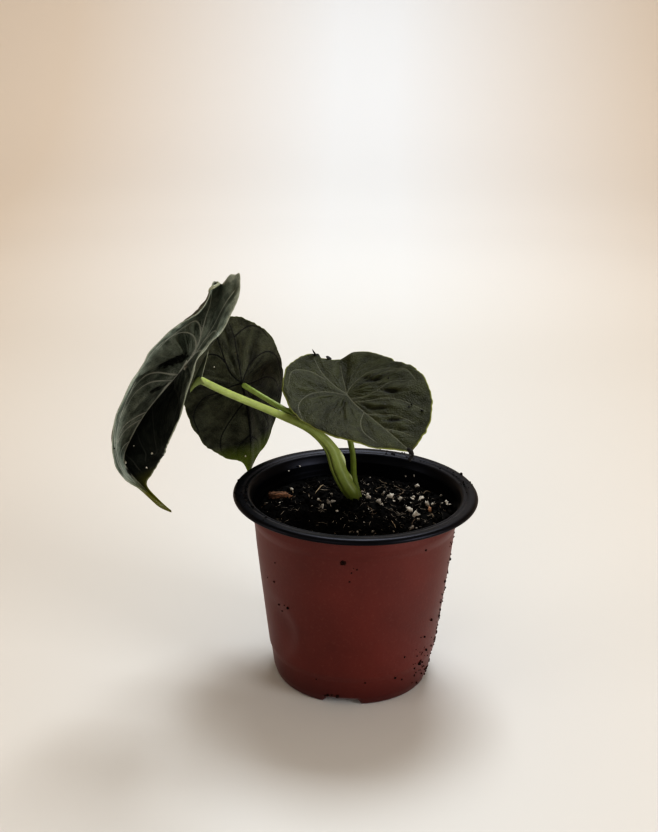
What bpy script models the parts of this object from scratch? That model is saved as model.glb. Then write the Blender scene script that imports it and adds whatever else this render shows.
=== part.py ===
"""Potted alocasia: three leaves on petioles, standing in the soil of a nursery pot.

Lengths are millimetres up here and metres in the scene. The floor is z = 0 and the pot's
axis is the z axis. The plant leans to -X, and the side it is seen from is -Y.
"""

import math

import bmesh
import bpy
import numpy as np
from mathutils import Matrix

MM = 0.001
CLEARANCE = 0.3

# Pot: one thin turned shell with a flat rim
POT_HEIGHT = 81.4
RIM_RADIUS = 50.0
RIM_THICKNESS = 2.1
MOUTH_RADIUS = 44.7
COLLAR_RADIUS = 42.6
COLLAR_BOTTOM = 72.0
BODY_TOP_RADIUS = 41.5
BODY_BOTTOM_RADIUS = 34.2
FOOT_HEIGHT = 6.9
FOOT_RADIUS = 33.1
BASE_RADIUS = 31.9
WALL = 1.1
BASE_PLATE = 2.8
POT_STEPS = 72

# Drain notches in the lower edge of the pot
NOTCH_COUNT = 4
NOTCH_SIZE = (7.0, 14.5, 3.0)
NOTCH_REACH = 30.4
FIRST_NOTCH = math.radians(-98.0)

# Soil: fills the pot to just under the collar, with a low mound at the stems
SOIL_LEVEL = 71.8
MOUND_HEIGHT = 0.9
MOUND_REACH = 12.0
MOUND_MIDDLE = (-1.0, 11.0)
SOIL_STEPS = 64
SOIL_RINGS = 10

# Perlite lumps that stand out of the soil: x, y, diameter
LUMPS = (
    (11.7, 18.3, 2.2),
    (26.8, 26.0, 1.9),
    (9.9, 6.3, 2.6),
    (5.6, 14.6, 2.4),
    (22.8, 1.0, 2.5),
    (25.2, -1.9, 2.5),
    (30.5, 2.6, 2.0),
    (37.6, 10.4, 2.1),
    (22.9, -16.0, 1.9),
    (-13.7, 2.6, 2.1),
    (-10.1, 7.1, 2.6),
    (-15.2, 9.4, 1.8),
    (23.9, 14.9, 1.6),
    (-5.2, -10.0, 1.7),
)

# Bark chip lying on the soil
CHIP_MIDDLE = (-32.3, 13.4)
CHIP_SIZE = (9.6, 3.2, 2.0)
CHIP_TURN = math.radians(-4.0)

# Petioles: points of the middle line with the radius there, from the soil upward
STEM_LEFT = (
    (1.5, 11.0, 61.0, 2.6),
    (-1.0, 10.5, 70.5, 3.2),
    (-4.0, 10.0, 77.0, 3.2),
    (-7.5, 9.5, 86.5, 3.1),
    (-11.0, 9.0, 96.0, 2.6),
    (-18.5, 7.5, 104.0, 1.9),
    (-32.0, 4.5, 111.5, 1.45),
    (-53.5, -1.0, 122.5, 1.35),
    (-68.4, -4.9, 131.4, 1.4),
)
STEM_BACK = (
    (-23.5, 6.5, 109.3, 1.1),
    (-31.0, 9.0, 112.7, 1.15),
    (-39.5, 15.0, 115.5, 1.1),
    (-48.2, 22.4, 118.0, 1.2),
)
STEM_RIGHT = (
    (5.0, 12.0, 61.0, 1.3),
    (2.0, 12.0, 70.5, 1.5),
    (-0.7, 12.0, 81.5, 1.35),
    (-1.5, 11.5, 92.0, 1.2),
    (-4.0, 11.5, 105.0, 1.2),
    (-4.5, 13.3, 116.8, 1.25),
)
STEM_SPACING = 3.0
STEM_BEVEL = 2

# Leaf blades. Along a flat blade 0 is where the petiole joins, and across it the right half
# is the positive one. The spine is the bent line of the midrib over the span along, and
# facing is the way its upper side looks. Right and then left, each half rises from the spine
# by fold degrees, rolls up by curl degrees a millimetre and ends at its margin, from the
# tip to the notch at the back. The wave is its height and its length along the blade.
BLADE = 0.8
BLADE_STEPS = 25
BLADE_RINGS = 7
LEAF_LEFT = {
    "span": (-37, 82),
    "spine": (
        (-53, -6, 169),
        (-55, -1, 150),
        (-64.5, -1.5, 129),
        (-82, -10, 117.5),
        (-106.5, -14.5, 110),
        (-87, -12.5, 84.5),
        (-72, -24.5, 80),
    ),
    "facing": ((0.1, -0.9, 0.5), (-0.3, -0.85, 0.45), (0.25, -0.9, 0.4), (-0.2, -0.9, 0.35)),
    "fold": ((52, 50, 72, 58), (50, 62, 40, 35)),
    "curl": ((2.5, 0.4, 2.2, 2.0), (1.7, 0.7, -1.1, 0.4)),
    "margin": (
        ((82, 0), (77, 3), (64, 5), (54, 17), (41, 26), (23, 30), (2, 29), (-18, 26),
         (-33, 23), (-40, 10), (-35, 0)),
        ((82, 0), (75, 1.5), (66, 4), (61, 14), (42, 22), (22, 30), (0, 35), (-18, 30),
         (-33, 21), (-43, 10), (-35, 0)),
    ),
    "wave": (0.5, 17),
}
LEAF_BACK = {
    "span": (-27, 50),
    "spine": (
        (-56, 21, 144),
        (-51, 21, 129.5),
        (-47, 23, 114.5),
        (-44, 27.5, 99.5),
        (-45.5, 32.5, 85),
        (-47, 39, 71),
    ),
    "facing": ((-0.45, 0.8, 0.4), (-0.45, 0.8, 0.4)),
    "fold": ((24, 24), (7, 7)),
    "curl": ((0.2, 0.2), (-0.1, -0.1)),
    "margin": (
        ((50, 0), (41, 5), (36, 11), (25, 18), (12, 23), (-2, 24), (-15, 20), (-23, 13),
         (-28, 6), (-28, 0)),
        ((50, 0), (41, 4), (37, 11), (28, 19), (14, 24), (0, 25), (-14, 21), (-24, 13),
         (-28, 6), (-28, 0)),
    ),
    "wave": (0.5, 15),
}
LEAF_RIGHT = {
    "span": (-25, 46),
    "spine": (
        (-7.5, 35, 128),
        (-9.5, 24, 119.5),
        (-6.5, 8.5, 115),
        (3.5, -2.5, 117),
        (11.5, -14.5, 112.5),
        (21, -23, 107),
    ),
    "facing": ((0, -0.85, 0.5), (0.2, -0.8, 0.6)),
    "fold": ((4, 15, 15), (18, -1, -1)),
    "curl": ((0, 0.1, 0.3), (0.2, -0.3, -0.2)),
    "margin": (
        ((46, 0), (44, 2), (37, 10), (24, 18), (10, 23), (-4, 25), (-17, 22), (-22, 16),
         (-22, 8), (-23, 0)),
        ((46, 0), (44, 7), (38, 17), (28, 25), (12, 29), (-5, 27), (-19, 22), (-25, 13),
         (-26, 6), (-23, 0)),
    ),
    "wave": (0.4, 14),
}


# Scene set-up
for old in list(bpy.data.objects):
    bpy.data.objects.remove(old)
PARTS = bpy.data.collections.new("potted_alocasia")
CUTTERS = bpy.data.collections.new("cutters")
LYING = bpy.data.collections.new("lying_on_soil")
for group in (PARTS, CUTTERS, LYING):
    bpy.context.scene.collection.children.link(group)


def material(name, colour, roughness):
    """A Principled material of one colour."""
    made = bpy.data.materials.new(name)
    made.use_nodes = True
    surface = made.node_tree.nodes["Principled BSDF"]
    surface.inputs["Base Color"].default_value = (*colour, 1.0)
    surface.inputs["Roughness"].default_value = roughness
    surface.inputs["Metallic"].default_value = 0.0
    return made


def part(name, mesh, skin):
    """A finished part: the mesh, shaded smooth up to sharp edges, in its own material."""
    made = bpy.data.objects.new(name, mesh)
    PARTS.objects.link(made)
    mesh.materials.clear()
    mesh.materials.append(skin)
    mesh.shade_smooth()
    mesh.set_sharp_from_angle(angle=math.radians(40))
    return made


def cutter(name, mesh):
    """A shape that only cuts, kept out of the part."""
    made = bpy.data.objects.new(name, mesh)
    made.hide_render = True
    made.display_type = "WIRE"
    CUTTERS.objects.link(made)
    return made


def cut(target, tool):
    """Leave only what of the target lies outside the tool."""
    boolean = target.modifiers.new("less_" + tool.name, "BOOLEAN")
    boolean.operation = "DIFFERENCE"
    boolean.solver = "EXACT"
    boolean.object = tool


def mesh_of(name, points, faces):
    """A mesh from points in millimetres."""
    mesh = bpy.data.meshes.new(name)
    mesh.from_pydata([tuple(p) for p in np.asarray(points) * MM], [], faces)
    mesh.update()
    return mesh


def mesh_from(name, shape):
    """A mesh from a finished bmesh."""
    mesh = bpy.data.meshes.new(name)
    shape.to_mesh(mesh)
    shape.free()
    return mesh


def blend(values, at):
    """Bezier blend of the values, at 0 for the first and 1 for the last."""
    last = len(values) - 1
    weights = [math.comb(last, i) * at**i * (1 - at) ** (last - i) for i in range(last + 1)]
    return np.stack(weights, axis=-1) @ np.asarray(values, float)


def through(points, at):
    """Smooth curve through the points: a cubic between each two, with shared slopes."""
    points = np.asarray(points, float)
    gaps = np.sqrt(np.linalg.norm(np.diff(points, axis=0), axis=1))
    knots = np.concatenate([[0.0], np.cumsum(gaps)]) / gaps.sum()
    slopes = np.gradient(points, knots, axis=0)
    left = np.clip(np.searchsorted(knots, at, side="right") - 1, 0, len(knots) - 2)
    gap = (knots[left + 1] - knots[left])[:, None]
    t = (at - knots[left])[:, None] / gap
    return (
        (2 * t**3 - 3 * t**2 + 1) * points[left]
        + (t**3 - 2 * t**2 + t) * gap * slopes[left]
        + (3 * t**2 - 2 * t**3) * points[left + 1]
        + (t**3 - t**2) * gap * slopes[left + 1]
    )


# Pot: the profile runs up the inside, over the rim, and down the outside to the middle
POT_PROFILE = (
    (0.0, BASE_PLATE),
    (BASE_RADIUS - WALL, BASE_PLATE),
    (FOOT_RADIUS - WALL, FOOT_HEIGHT - 0.6),
    (BODY_BOTTOM_RADIUS - WALL, FOOT_HEIGHT + 0.6),
    (BODY_TOP_RADIUS - WALL, COLLAR_BOTTOM + 0.4),
    (COLLAR_RADIUS - WALL, COLLAR_BOTTOM + 2.2),
    (COLLAR_RADIUS - WALL + 0.4, POT_HEIGHT - 3.6),
    (MOUTH_RADIUS - 1.2, POT_HEIGHT - 0.9),
    (MOUTH_RADIUS, POT_HEIGHT - 0.1),
    (MOUTH_RADIUS + 1.0, POT_HEIGHT),
    (RIM_RADIUS - 1.2, POT_HEIGHT),
    (RIM_RADIUS - 0.4, POT_HEIGHT - 0.3),
    (RIM_RADIUS, POT_HEIGHT - 1.0),
    (RIM_RADIUS, POT_HEIGHT - RIM_THICKNESS + 0.4),
    (RIM_RADIUS - 0.5, POT_HEIGHT - RIM_THICKNESS),
    (COLLAR_RADIUS + 0.5, POT_HEIGHT - RIM_THICKNESS),
    (COLLAR_RADIUS, POT_HEIGHT - RIM_THICKNESS - 0.6),
    (COLLAR_RADIUS - 0.1, COLLAR_BOTTOM),
    (BODY_TOP_RADIUS, COLLAR_BOTTOM - 1.4),
    (BODY_BOTTOM_RADIUS, FOOT_HEIGHT + 0.3),
    (FOOT_RADIUS, FOOT_HEIGHT - 0.4),
    (BASE_RADIUS, 0.7),
    (BASE_RADIUS - 0.6, 0.0),
    (0.0, 0.0),
)
profile = bpy.data.meshes.new("pot")
profile_edges = [(i, i + 1) for i in range(len(POT_PROFILE) - 1)]
profile.from_pydata([(r * MM, 0.0, z * MM) for r, z in POT_PROFILE], profile_edges, [])
pot = part("pot", profile, material("pot_plastic", (0.075, 0.013, 0.009), 0.5))
screw = pot.modifiers.new("turn", "SCREW")
screw.axis = "Z"
screw.angle = math.tau
screw.steps = POT_STEPS
screw.render_steps = POT_STEPS
screw.use_merge_vertices = True
screw.merge_threshold = 1e-5

for number in range(NOTCH_COUNT):
    place = (
        Matrix.Rotation(FIRST_NOTCH + math.tau * number / NOTCH_COUNT, 4, "Z")
        @ Matrix.Translation((NOTCH_REACH * MM, 0.0, 0.0))
        @ Matrix.Diagonal((*[side * MM for side in NOTCH_SIZE], 1.0))
    )
    block = bmesh.new()
    bmesh.ops.create_cube(block, size=1.0, matrix=place)
    name = f"notch_{number + 1}"
    cut(pot, cutter(name, mesh_from(name, block)))


# Soil
def soil_height(x, y):
    """Height of the soil surface: the mound, with broad and small waves over it."""
    away = (x - MOUND_MIDDLE[0]) ** 2 + (y - MOUND_MIDDLE[1]) ** 2
    mound = MOUND_HEIGHT * np.exp(-away / MOUND_REACH**2)
    broad = 0.35 * np.sin(0.21 * x + 0.8) * np.cos(0.17 * y - 0.4)
    small = 0.3 * np.sin(0.63 * x - 0.41 * y + 2.0) + 0.2 * np.cos(0.83 * y + 0.52 * x)
    return SOIL_LEVEL + mound + broad + small


around = np.arange(SOIL_STEPS) * math.tau / SOIL_STEPS
soil_radius = BODY_TOP_RADIUS - WALL - CLEARANCE
wall_rows = (
    (BASE_RADIUS - WALL - CLEARANCE, BASE_PLATE + CLEARANCE),
    (FOOT_RADIUS - WALL - CLEARANCE, FOOT_HEIGHT - 0.6),
    (BODY_BOTTOM_RADIUS - WALL - CLEARANCE, FOOT_HEIGHT + 0.7),
)
rows = []
for radius, z in wall_rows:
    rows.append(np.stack([radius * np.cos(around), radius * np.sin(around), 0 * around + z], axis=1))
for radius in np.linspace(soil_radius - 0.05, 0.0, SOIL_RINGS, endpoint=False):
    x, y = radius * np.cos(around), radius * np.sin(around)
    rows.append(np.stack([x, y, soil_height(x, y)], axis=1))
soil_points = [(0.0, 0.0, wall_rows[0][1]), (0.0, 0.0, soil_height(0.0, 0.0))]
soil_points += [tuple(p) for p in np.concatenate(rows)]
inmost = 2 + (len(rows) - 1) * SOIL_STEPS
soil_faces = []
for i in range(SOIL_STEPS):
    j = (i + 1) % SOIL_STEPS
    soil_faces.append((0, 2 + j, 2 + i))
    soil_faces.append((1, inmost + i, inmost + j))
    for row in range(len(rows) - 1):
        low = 2 + row * SOIL_STEPS
        high = low + SOIL_STEPS
        soil_faces.append((low + i, low + j, high + j))
        soil_faces.append((low + i, high + j, high + i))
soil_skin = material("potting_soil", (0.012, 0.009, 0.007), 0.95)
soil = part("soil", mesh_of("soil", soil_points, soil_faces), soil_skin)


def lay(name, x, y, size, turn):
    """A lump half sunk in the soil."""
    place = (
        Matrix.Translation((x * MM, y * MM, float(soil_height(x, y)) * MM))
        @ Matrix.Rotation(turn, 4, "Z")
        @ Matrix.Diagonal((*[side * MM for side in size], 1.0))
    )
    shape = bmesh.new()
    bmesh.ops.create_icosphere(shape, subdivisions=2, radius=0.5, matrix=place)
    LYING.objects.link(bpy.data.objects.new(name, mesh_from(name, shape)))


for number, (x, y, across) in enumerate(LUMPS):
    lay(f"lump_{number + 1}", x, y, (across, 0.85 * across, 0.9 * across), 0.7 * number)
lay("bark_chip", *CHIP_MIDDLE, CHIP_SIZE, CHIP_TURN)

fuse = soil.modifiers.new("fuse", "BOOLEAN")
fuse.operation = "UNION"
fuse.solver = "EXACT"
fuse.operand_type = "COLLECTION"
fuse.collection = LYING
bpy.context.view_layer.objects.active = soil
bpy.ops.object.modifier_apply(modifier=fuse.name)
for lump in list(LYING.objects):
    bpy.data.objects.remove(lump)
bpy.data.collections.remove(LYING)


# Petioles: the left one also sheathes the foot of the back one
def stem_mesh(name, stem, grow=0.0):
    """A round stem along its points, its radius changing from point to point."""
    length = np.linalg.norm(np.diff(np.array(stem)[:, :3], axis=0), axis=1).sum()
    path = through(stem, np.linspace(0.0, 1.0, round(length / STEM_SPACING) + 1))
    curve = bpy.data.curves.new(name, "CURVE")
    curve.dimensions = "3D"
    curve.bevel_depth = MM
    curve.bevel_resolution = STEM_BEVEL
    curve.use_fill_caps = True
    line = curve.splines.new("POLY")
    line.points.add(len(path) - 1)
    for point, (x, y, z, radius) in zip(line.points, path):
        point.co = (x * MM, y * MM, z * MM, 1.0)
        point.radius = radius + grow
    drawn = bpy.data.objects.new(name, curve)
    CUTTERS.objects.link(drawn)
    bpy.context.view_layer.update()
    seen = drawn.evaluated_get(bpy.context.evaluated_depsgraph_get())
    shape = bmesh.new()
    shape.from_mesh(bpy.data.meshes.new_from_object(seen))
    bmesh.ops.remove_doubles(shape, verts=shape.verts, dist=1e-6)
    bpy.data.objects.remove(drawn)
    return mesh_from(name, shape)


left_skin = material("petiole_green", (0.20, 0.25, 0.08), 0.45)
back_skin = material("petiole_deep_green", (0.12, 0.17, 0.04), 0.45)
right_skin = material("petiole_olive", (0.09, 0.12, 0.03), 0.45)
petiole_left = part("petiole_left", stem_mesh("petiole_left", STEM_LEFT), left_skin)
part("petiole_back", stem_mesh("petiole_back", STEM_BACK), back_skin)
part("petiole_right", stem_mesh("petiole_right", STEM_RIGHT), right_skin)
left_hole = cutter("left_hole", stem_mesh("left_hole", STEM_LEFT, CLEARANCE))
back_socket = cutter("back_socket", stem_mesh("back_socket", STEM_BACK, CLEARANCE))
right_hole = cutter("right_hole", stem_mesh("right_hole", STEM_RIGHT, CLEARANCE))
cut(petiole_left, back_socket)
cut(petiole_left, right_hole)
cut(soil, left_hole)
cut(soil, right_hole)


# Leaf blades
def blade_surface(leaf, along, across):
    """Bent blade: out from the spine along an arc that starts at the fold."""
    start, end = leaf["span"]
    at = (along - start) / (end - start)
    forward = blend(np.diff(leaf["spine"], axis=0), at)
    forward /= np.linalg.norm(forward, axis=-1, keepdims=True)
    up = blend(leaf["facing"], at)
    up -= np.sum(up * forward, axis=-1, keepdims=True) * forward
    up /= np.linalg.norm(up, axis=-1, keepdims=True)
    half = np.sign(across)
    fold, curl = (
        np.radians(np.where(half > 0, blend(leaf[key][0], at), blend(leaf[key][1], at)))
        for key in ("fold", "curl")
    )
    out = np.abs(across)
    chord = out * np.sinc(curl * out / math.tau)
    tilt = fold + curl * out / 2
    height, length = leaf["wave"]
    widest = max(point[1] for side in leaf["margin"] for point in side)
    wave = height * (out / widest) ** 2 * np.sin(math.tau * along / length + half)
    sideways = (half * chord * np.cos(tilt))[:, None] * np.cross(forward, up)
    return blend(leaf["spine"], at) + sideways + (chord * np.sin(tilt) + wave)[:, None] * up


def blade(name, leaf, skin):
    """A leaf blade: triangles fanned out from the petiole to the margin, then thickened."""
    steps = np.linspace(0.0, 1.0, BLADE_STEPS)
    right = through(leaf["margin"][0], steps)[:-1]
    left = through(leaf["margin"][1], steps)[:0:-1] * (1, -1)
    edge = np.concatenate([right, left])
    count = len(edge)
    nudge = np.where(np.arange(count) < len(right), 1e-6, -1e-6)
    points = [blade_surface(leaf, np.zeros(1), np.full(1, 1e-6))[0]]
    for ring in np.linspace(0.0, 1.0, BLADE_RINGS + 1)[1:]:
        points.extend(blade_surface(leaf, edge[:, 0] * ring, edge[:, 1] * ring + nudge))
    faces = []
    for i in range(count):
        j = (i + 1) % count
        faces.append((0, 1 + i, 1 + j))
        for ring in range(BLADE_RINGS - 1):
            low = 1 + ring * count
            high = low + count
            faces.append((low + i, high + i, high + j))
            faces.append((low + i, high + j, low + j))
    made = part(name, mesh_of(name, points, faces), skin)
    thicken = made.modifiers.new("thicken", "SOLIDIFY")
    thicken.thickness = BLADE * MM
    thicken.offset = 0.0


blade("leaf_left", LEAF_LEFT, material("leaf_grey_green", (0.020, 0.024, 0.020), 0.4))
blade("leaf_back", LEAF_BACK, material("leaf_dark_green", (0.012, 0.014, 0.009), 0.4))
blade("leaf_right", LEAF_RIGHT, material("leaf_olive_green", (0.040, 0.046, 0.028), 0.5))
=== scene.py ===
import math

import bmesh
import bpy
import numpy as np
from mathutils import Matrix, Vector


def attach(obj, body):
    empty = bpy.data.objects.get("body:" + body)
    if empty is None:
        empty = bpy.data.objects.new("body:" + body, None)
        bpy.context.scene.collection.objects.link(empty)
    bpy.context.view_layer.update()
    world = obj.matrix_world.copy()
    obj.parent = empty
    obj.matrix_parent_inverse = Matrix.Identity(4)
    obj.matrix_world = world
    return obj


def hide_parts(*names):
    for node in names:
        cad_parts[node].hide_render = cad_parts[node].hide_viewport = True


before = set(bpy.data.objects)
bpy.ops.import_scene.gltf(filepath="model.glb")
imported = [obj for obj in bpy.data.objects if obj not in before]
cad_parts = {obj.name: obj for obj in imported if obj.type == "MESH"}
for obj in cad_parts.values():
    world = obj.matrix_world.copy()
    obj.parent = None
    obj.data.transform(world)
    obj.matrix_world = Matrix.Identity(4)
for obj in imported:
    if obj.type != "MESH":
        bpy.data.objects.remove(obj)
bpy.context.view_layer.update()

# A potted alocasia: three leaves on their petioles in a nursery pot full of dark peat.
# Lengths are millimetres, the floor is z = 0, and the pot's axis is the z axis.
MM = 0.001


# Pot
# A thin nursery pot of two-layer polypropylene sheet, brick red outside and black inside.
# Its rim is turned out flat, it has a low collar, and its foot is stepped in with four
# shallow drain notches. It was drawn over a mould while warm, so it is slightly out of round.
POT_HEIGHT = 81.4
RIM_RADIUS = 50.0
MOUTH_RADIUS = 44.7
COLLAR_BOTTOM = 70.5
BODY_BOTTOM_RADIUS = 34.9
FOOT_HEIGHT = 12.6
BASE_RADIUS = 31.9
WALL = 1.1
NOTCH_COUNT = 4
NOTCH_DEPTH = 5.0
NOTCH_HEIGHT = 2.4
NOTCH_HALF_ANGLE = math.radians(15.0)
FIRST_NOTCH = math.radians(-96.0)
DENT_EDGE = math.radians(-122.5)
DENT_DEPTH = 1.8
DENT_MIDDLE = 27.0
DENT_HALF_HEIGHT = 13.0
RED_BELOW_RIM = 2.6
LINER_BELOW_RIM = 6.5
POT_COLUMNS = 288
POT_STRETCH = 2.4
POT_CORNER = 0.55
# Radius and height, from the middle of the floor inside, over the rim, to the middle of the base
POT_OUTLINE = (
    (1.0, 2.8), (30.8, 2.8), (32.3, 9.8), (33.7, 14.0), (40.4, 72.4), (41.5, 74.2), (42.0, 77.6),
    (43.2, 80.2), (44.3, 80.9), (45.3, 80.7), (46.2, 81.2), (48.6, 81.3), (49.6, 80.8),
    (50.0, 79.9), (49.8, 79.2), (49.0, 79.0), (43.2, 79.2), (42.5, 78.4), (42.75, 72.6),
    (42.15, 70.6), (41.25, 68.4), (35.0, 14.2), (34.05, 11.4), (32.9, 3.6), (31.9, 0.8),
    (31.2, 0.0), (27.2, 0.0), (26.6, 0.0), (1.0, 0.0),
)


def rounded(outline, corner, stretch):
    """The outline with each corner cut back and bridged by a parabola, and long runs divided.

    At a corner B between A and C the parabola runs from B's side of A to B's side of C:
    (1-t)^2 start + 2t(1-t) B + t^2 end. A run is divided into equal parts up to stretch long.
    """
    outline = np.array(outline)
    path = [outline[0]]
    for before, here, after in zip(outline, outline[1:], outline[2:]):
        back, ahead = before - here, after - here
        cut = min(corner, 0.45 * np.linalg.norm(back), 0.45 * np.linalg.norm(ahead))
        start = here + back * cut / np.linalg.norm(back)
        end = here + ahead * cut / np.linalg.norm(ahead)
        parts = max(1, math.ceil(np.linalg.norm(start - path[-1]) / stretch))
        path.extend(np.linspace(path[-1], start, parts, endpoint=False)[1:])
        path.extend((1 - t) ** 2 * start + 2 * t * (1 - t) * here + t**2 * end for t in (0, 0.5, 1))
    parts = math.ceil(np.linalg.norm(outline[-1] - path[-1]) / stretch)
    path.extend(np.linspace(path[-1], outline[-1], parts + 1)[1:])
    return np.array(path)


def near(value, middle, width):
    """A bell of height 1: e to the minus ((value - middle) / width) squared."""
    return np.exp(-(((value - middle) / width) ** 2))


def all_round(count):
    """Equal angles all the way round."""
    return np.arange(count) * math.tau / count


def turn_past(middle, angle):
    """How far an angle is past the middle one, up to half a turn either way."""
    return np.angle(np.exp(1j * (angle - middle)))


def spun(radius, angle, height):
    """Points at a distance from the z axis, at an angle round it and at a height."""
    spots = np.broadcast_arrays(radius * np.cos(angle), radius * np.sin(angle), height)
    return np.stack(spots, axis=-1)


def noise(points, size, seed):
    """Smooth random heights from -1 to 1, with bumps about size millimetres wide.

    Random numbers stand on a cubic lattice, and a point takes those of its eight nearest
    corners, weighted by 3t^2 - 2t^3 along each axis.
    """
    table = np.random.default_rng(seed).uniform(-1, 1, 4096)
    cells = np.asarray(points) / size
    low = np.floor(cells)
    t = cells - low
    t = t * t * (3 - 2 * t)
    low = low.astype(np.int64)
    total = np.zeros(cells.shape[:-1])
    for corner in np.ndindex(2, 2, 2):
        spot = (low + corner) * (73856093, 19349663, 83492791)
        weight = np.prod(np.where(corner, t, 1 - t), axis=-1)
        total += weight * table[(spot[..., 0] ^ spot[..., 1] ^ spot[..., 2]) & 4095]
    return total


def new_mesh(name, points, faces, skins, **fields):
    """A smooth mesh of points in millimetres. A field is a number at every point."""
    mesh = bpy.data.meshes.new(name)
    mesh.from_pydata((np.reshape(points, (-1, 3)) * MM).tolist(), [], faces)
    for skin in skins:
        mesh.materials.append(skin)
    for field, values in fields.items():
        layer = mesh.attributes.new(field, "FLOAT", "POINT")
        layer.data.foreach_set("value", np.ravel(values).astype(np.float32))
    mesh.shade_smooth()
    return mesh


def ring_mesh(name, rings, skins, bands=None, **fields):
    """A closed mesh of rings of points, all alike in count, from one end to the other.

    Each ring is joined to the next by quads, and the first and last are closed on a point
    at their middle. Bands gives each ring's or each point's skin, and a field is a number at
    every point.
    """
    count, around = rings.shape[:2]
    points = np.concatenate([rings.reshape(-1, 3), (rings[0].mean(axis=0), rings[-1].mean(axis=0))])
    low = np.arange((count - 1) * around).reshape(count - 1, around)
    ahead = np.roll(low, -1, 1)
    quads = np.stack([low, ahead, ahead + around, low + around], -1).reshape(-1, 4)
    top, bottom = np.full((2, around), [[count * around], [count * around + 1]])
    caps = np.concatenate([
        np.stack([ahead[0], low[0], top], -1),
        np.stack([low[-1] + around, ahead[-1] + around, bottom], -1),
    ])
    faces = quads.tolist() + caps.tolist()
    a, b, c = np.moveaxis(points[np.concatenate([caps, quads[:, [0, 1, 2]], quads[:, [0, 2, 3]]])], 1, 0)
    if np.sum(a * np.cross(b, c)) < 0:
        faces = [face[::-1] for face in faces]
    fields = {
        key: np.concatenate([values.ravel(), [values[0].mean(), values[-1].mean()]])
        for key, values in fields.items()
    }
    mesh = new_mesh(name, points, faces, skins, **fields)
    if bands is not None:
        band = np.broadcast_to(np.asarray(bands).reshape(count, -1), (count, around))
        index = np.concatenate([band[:-1].ravel(), band[0], band[-1]])
        mesh.polygons.foreach_set("material_index", index.astype(np.int32))
    return mesh


def piece(mesh, slot, *nodes):
    """A finished piece of the plant: it rides with the pot, and stands for the CAD nodes."""
    made = bpy.data.objects.new(mesh.name, mesh)
    bpy.context.scene.collection.objects.link(made)
    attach(made, "root")
    if nodes:
        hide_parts(*nodes)
    return made


def srgb(code):
    """A colour written as sRGB hex, as linear light with alpha 1."""
    channels = [int(code[i : i + 2], 16) / 255 for i in (1, 3, 5)]
    linear = [c / 12.92 if c <= 0.04045 else ((c + 0.055) / 1.055) ** 2.4 for c in channels]
    return (*linear, 1.0)


def connect(made, inputs):
    """Set a node's inputs. Each is a number, a vector, a colour in sRGB hex, a node, whose
    first output in use is linked, or one output of a node.
    """
    for name, value in inputs.items():
        if isinstance(value, bpy.types.Node):
            value = next(output for output in value.outputs if output.enabled)
        if isinstance(value, bpy.types.NodeSocket):
            made.id_data.links.new(value, made.inputs[name])
        else:
            made.inputs[name].default_value = srgb(value) if isinstance(value, str) else value


def node(tree, kind, inputs, stops=(), **settings):
    """Add a node with its settings and its inputs. Stops are a colour ramp's, by place."""
    made = tree.nodes.new("ShaderNode" + kind)
    for name, value in settings.items():
        setattr(made, name, value)
    for count, (place, colour) in enumerate(dict(stops).items()):
        stop = made.color_ramp.elements[count] if count < 2 else made.color_ramp.elements.new(place)
        stop.position = place
        stop.color = srgb(colour)
    connect(made, inputs)
    return made


def new_material(name, **values):
    """A material with only a Principled shader, set to the values. Returns it with its tree."""
    made = bpy.data.materials.new(name)
    made.use_nodes = True
    shader = made.node_tree.nodes["Principled BSDF"]
    connect(shader, {
        key.replace("_", " ").title().replace("Ior", "IOR"): value for key, value in values.items()
    })
    return made, made.node_tree, shader


def red_polypropylene():
    """Drawn polypropylene sheet: a satin brick red under a faint bloom of dust, unevenly
    scuffed, and painted darker and redder low on the foot, where shade falls near the floor.
    """
    made, tree, shader = new_material(
        "brick_red_polypropylene",
        ior=1.49,
        specular_ior_level=0.35,
        sheen_weight=0.12,
        sheen_roughness=0.4,
    )
    place = node(tree, "TexCoord", {}).outputs["Object"]
    cloud = node(tree, "TexNoise", {"Vector": place, "Scale": 38.0, "Detail": 5.0})
    dust = node(tree, "TexNoise", {"Vector": place, "Scale": 900.0, "Detail": 3.0})
    tone = node(tree, "ValToRGB", {"Fac": cloud}, {0.3: "#4d1b15", 0.75: "#5a221b"})
    film = node(tree, "MapRange", {"Value": dust, 1: 0.55, 2: 0.8, 4: 0.14})
    dusty = node(tree, "Mix", {0: film, 6: tone, 7: "#7a5248"}, data_type="RGBA")
    height = node(tree, "SeparateXYZ", {0: place}).outputs["Z"]
    # Painted shade low on the foot: up to 0.9 of a dark red at the floor, none from 14 mm up.
    low = node(tree, "MapRange", {"Value": height, 1: 0.001, 2: 0.014, 3: 0.9, 4: 0.0})
    painted_foot_shade = node(tree, "Mix", {0: low, 6: dusty, 7: "#3c0602"}, data_type="RGBA")
    rough = node(tree, "MapRange", {"Value": cloud, 3: 0.42, 4: 0.58})
    peel = node(tree, "TexNoise", {"Vector": place, "Scale": 700.0, "Detail": 2.0})
    bump = node(tree, "Bump", {"Height": peel, "Strength": 0.08, "Distance": 0.0004})
    connect(shader, {"Base Color": painted_foot_shade, "Roughness": rough, "Normal": bump})
    return made


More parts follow.
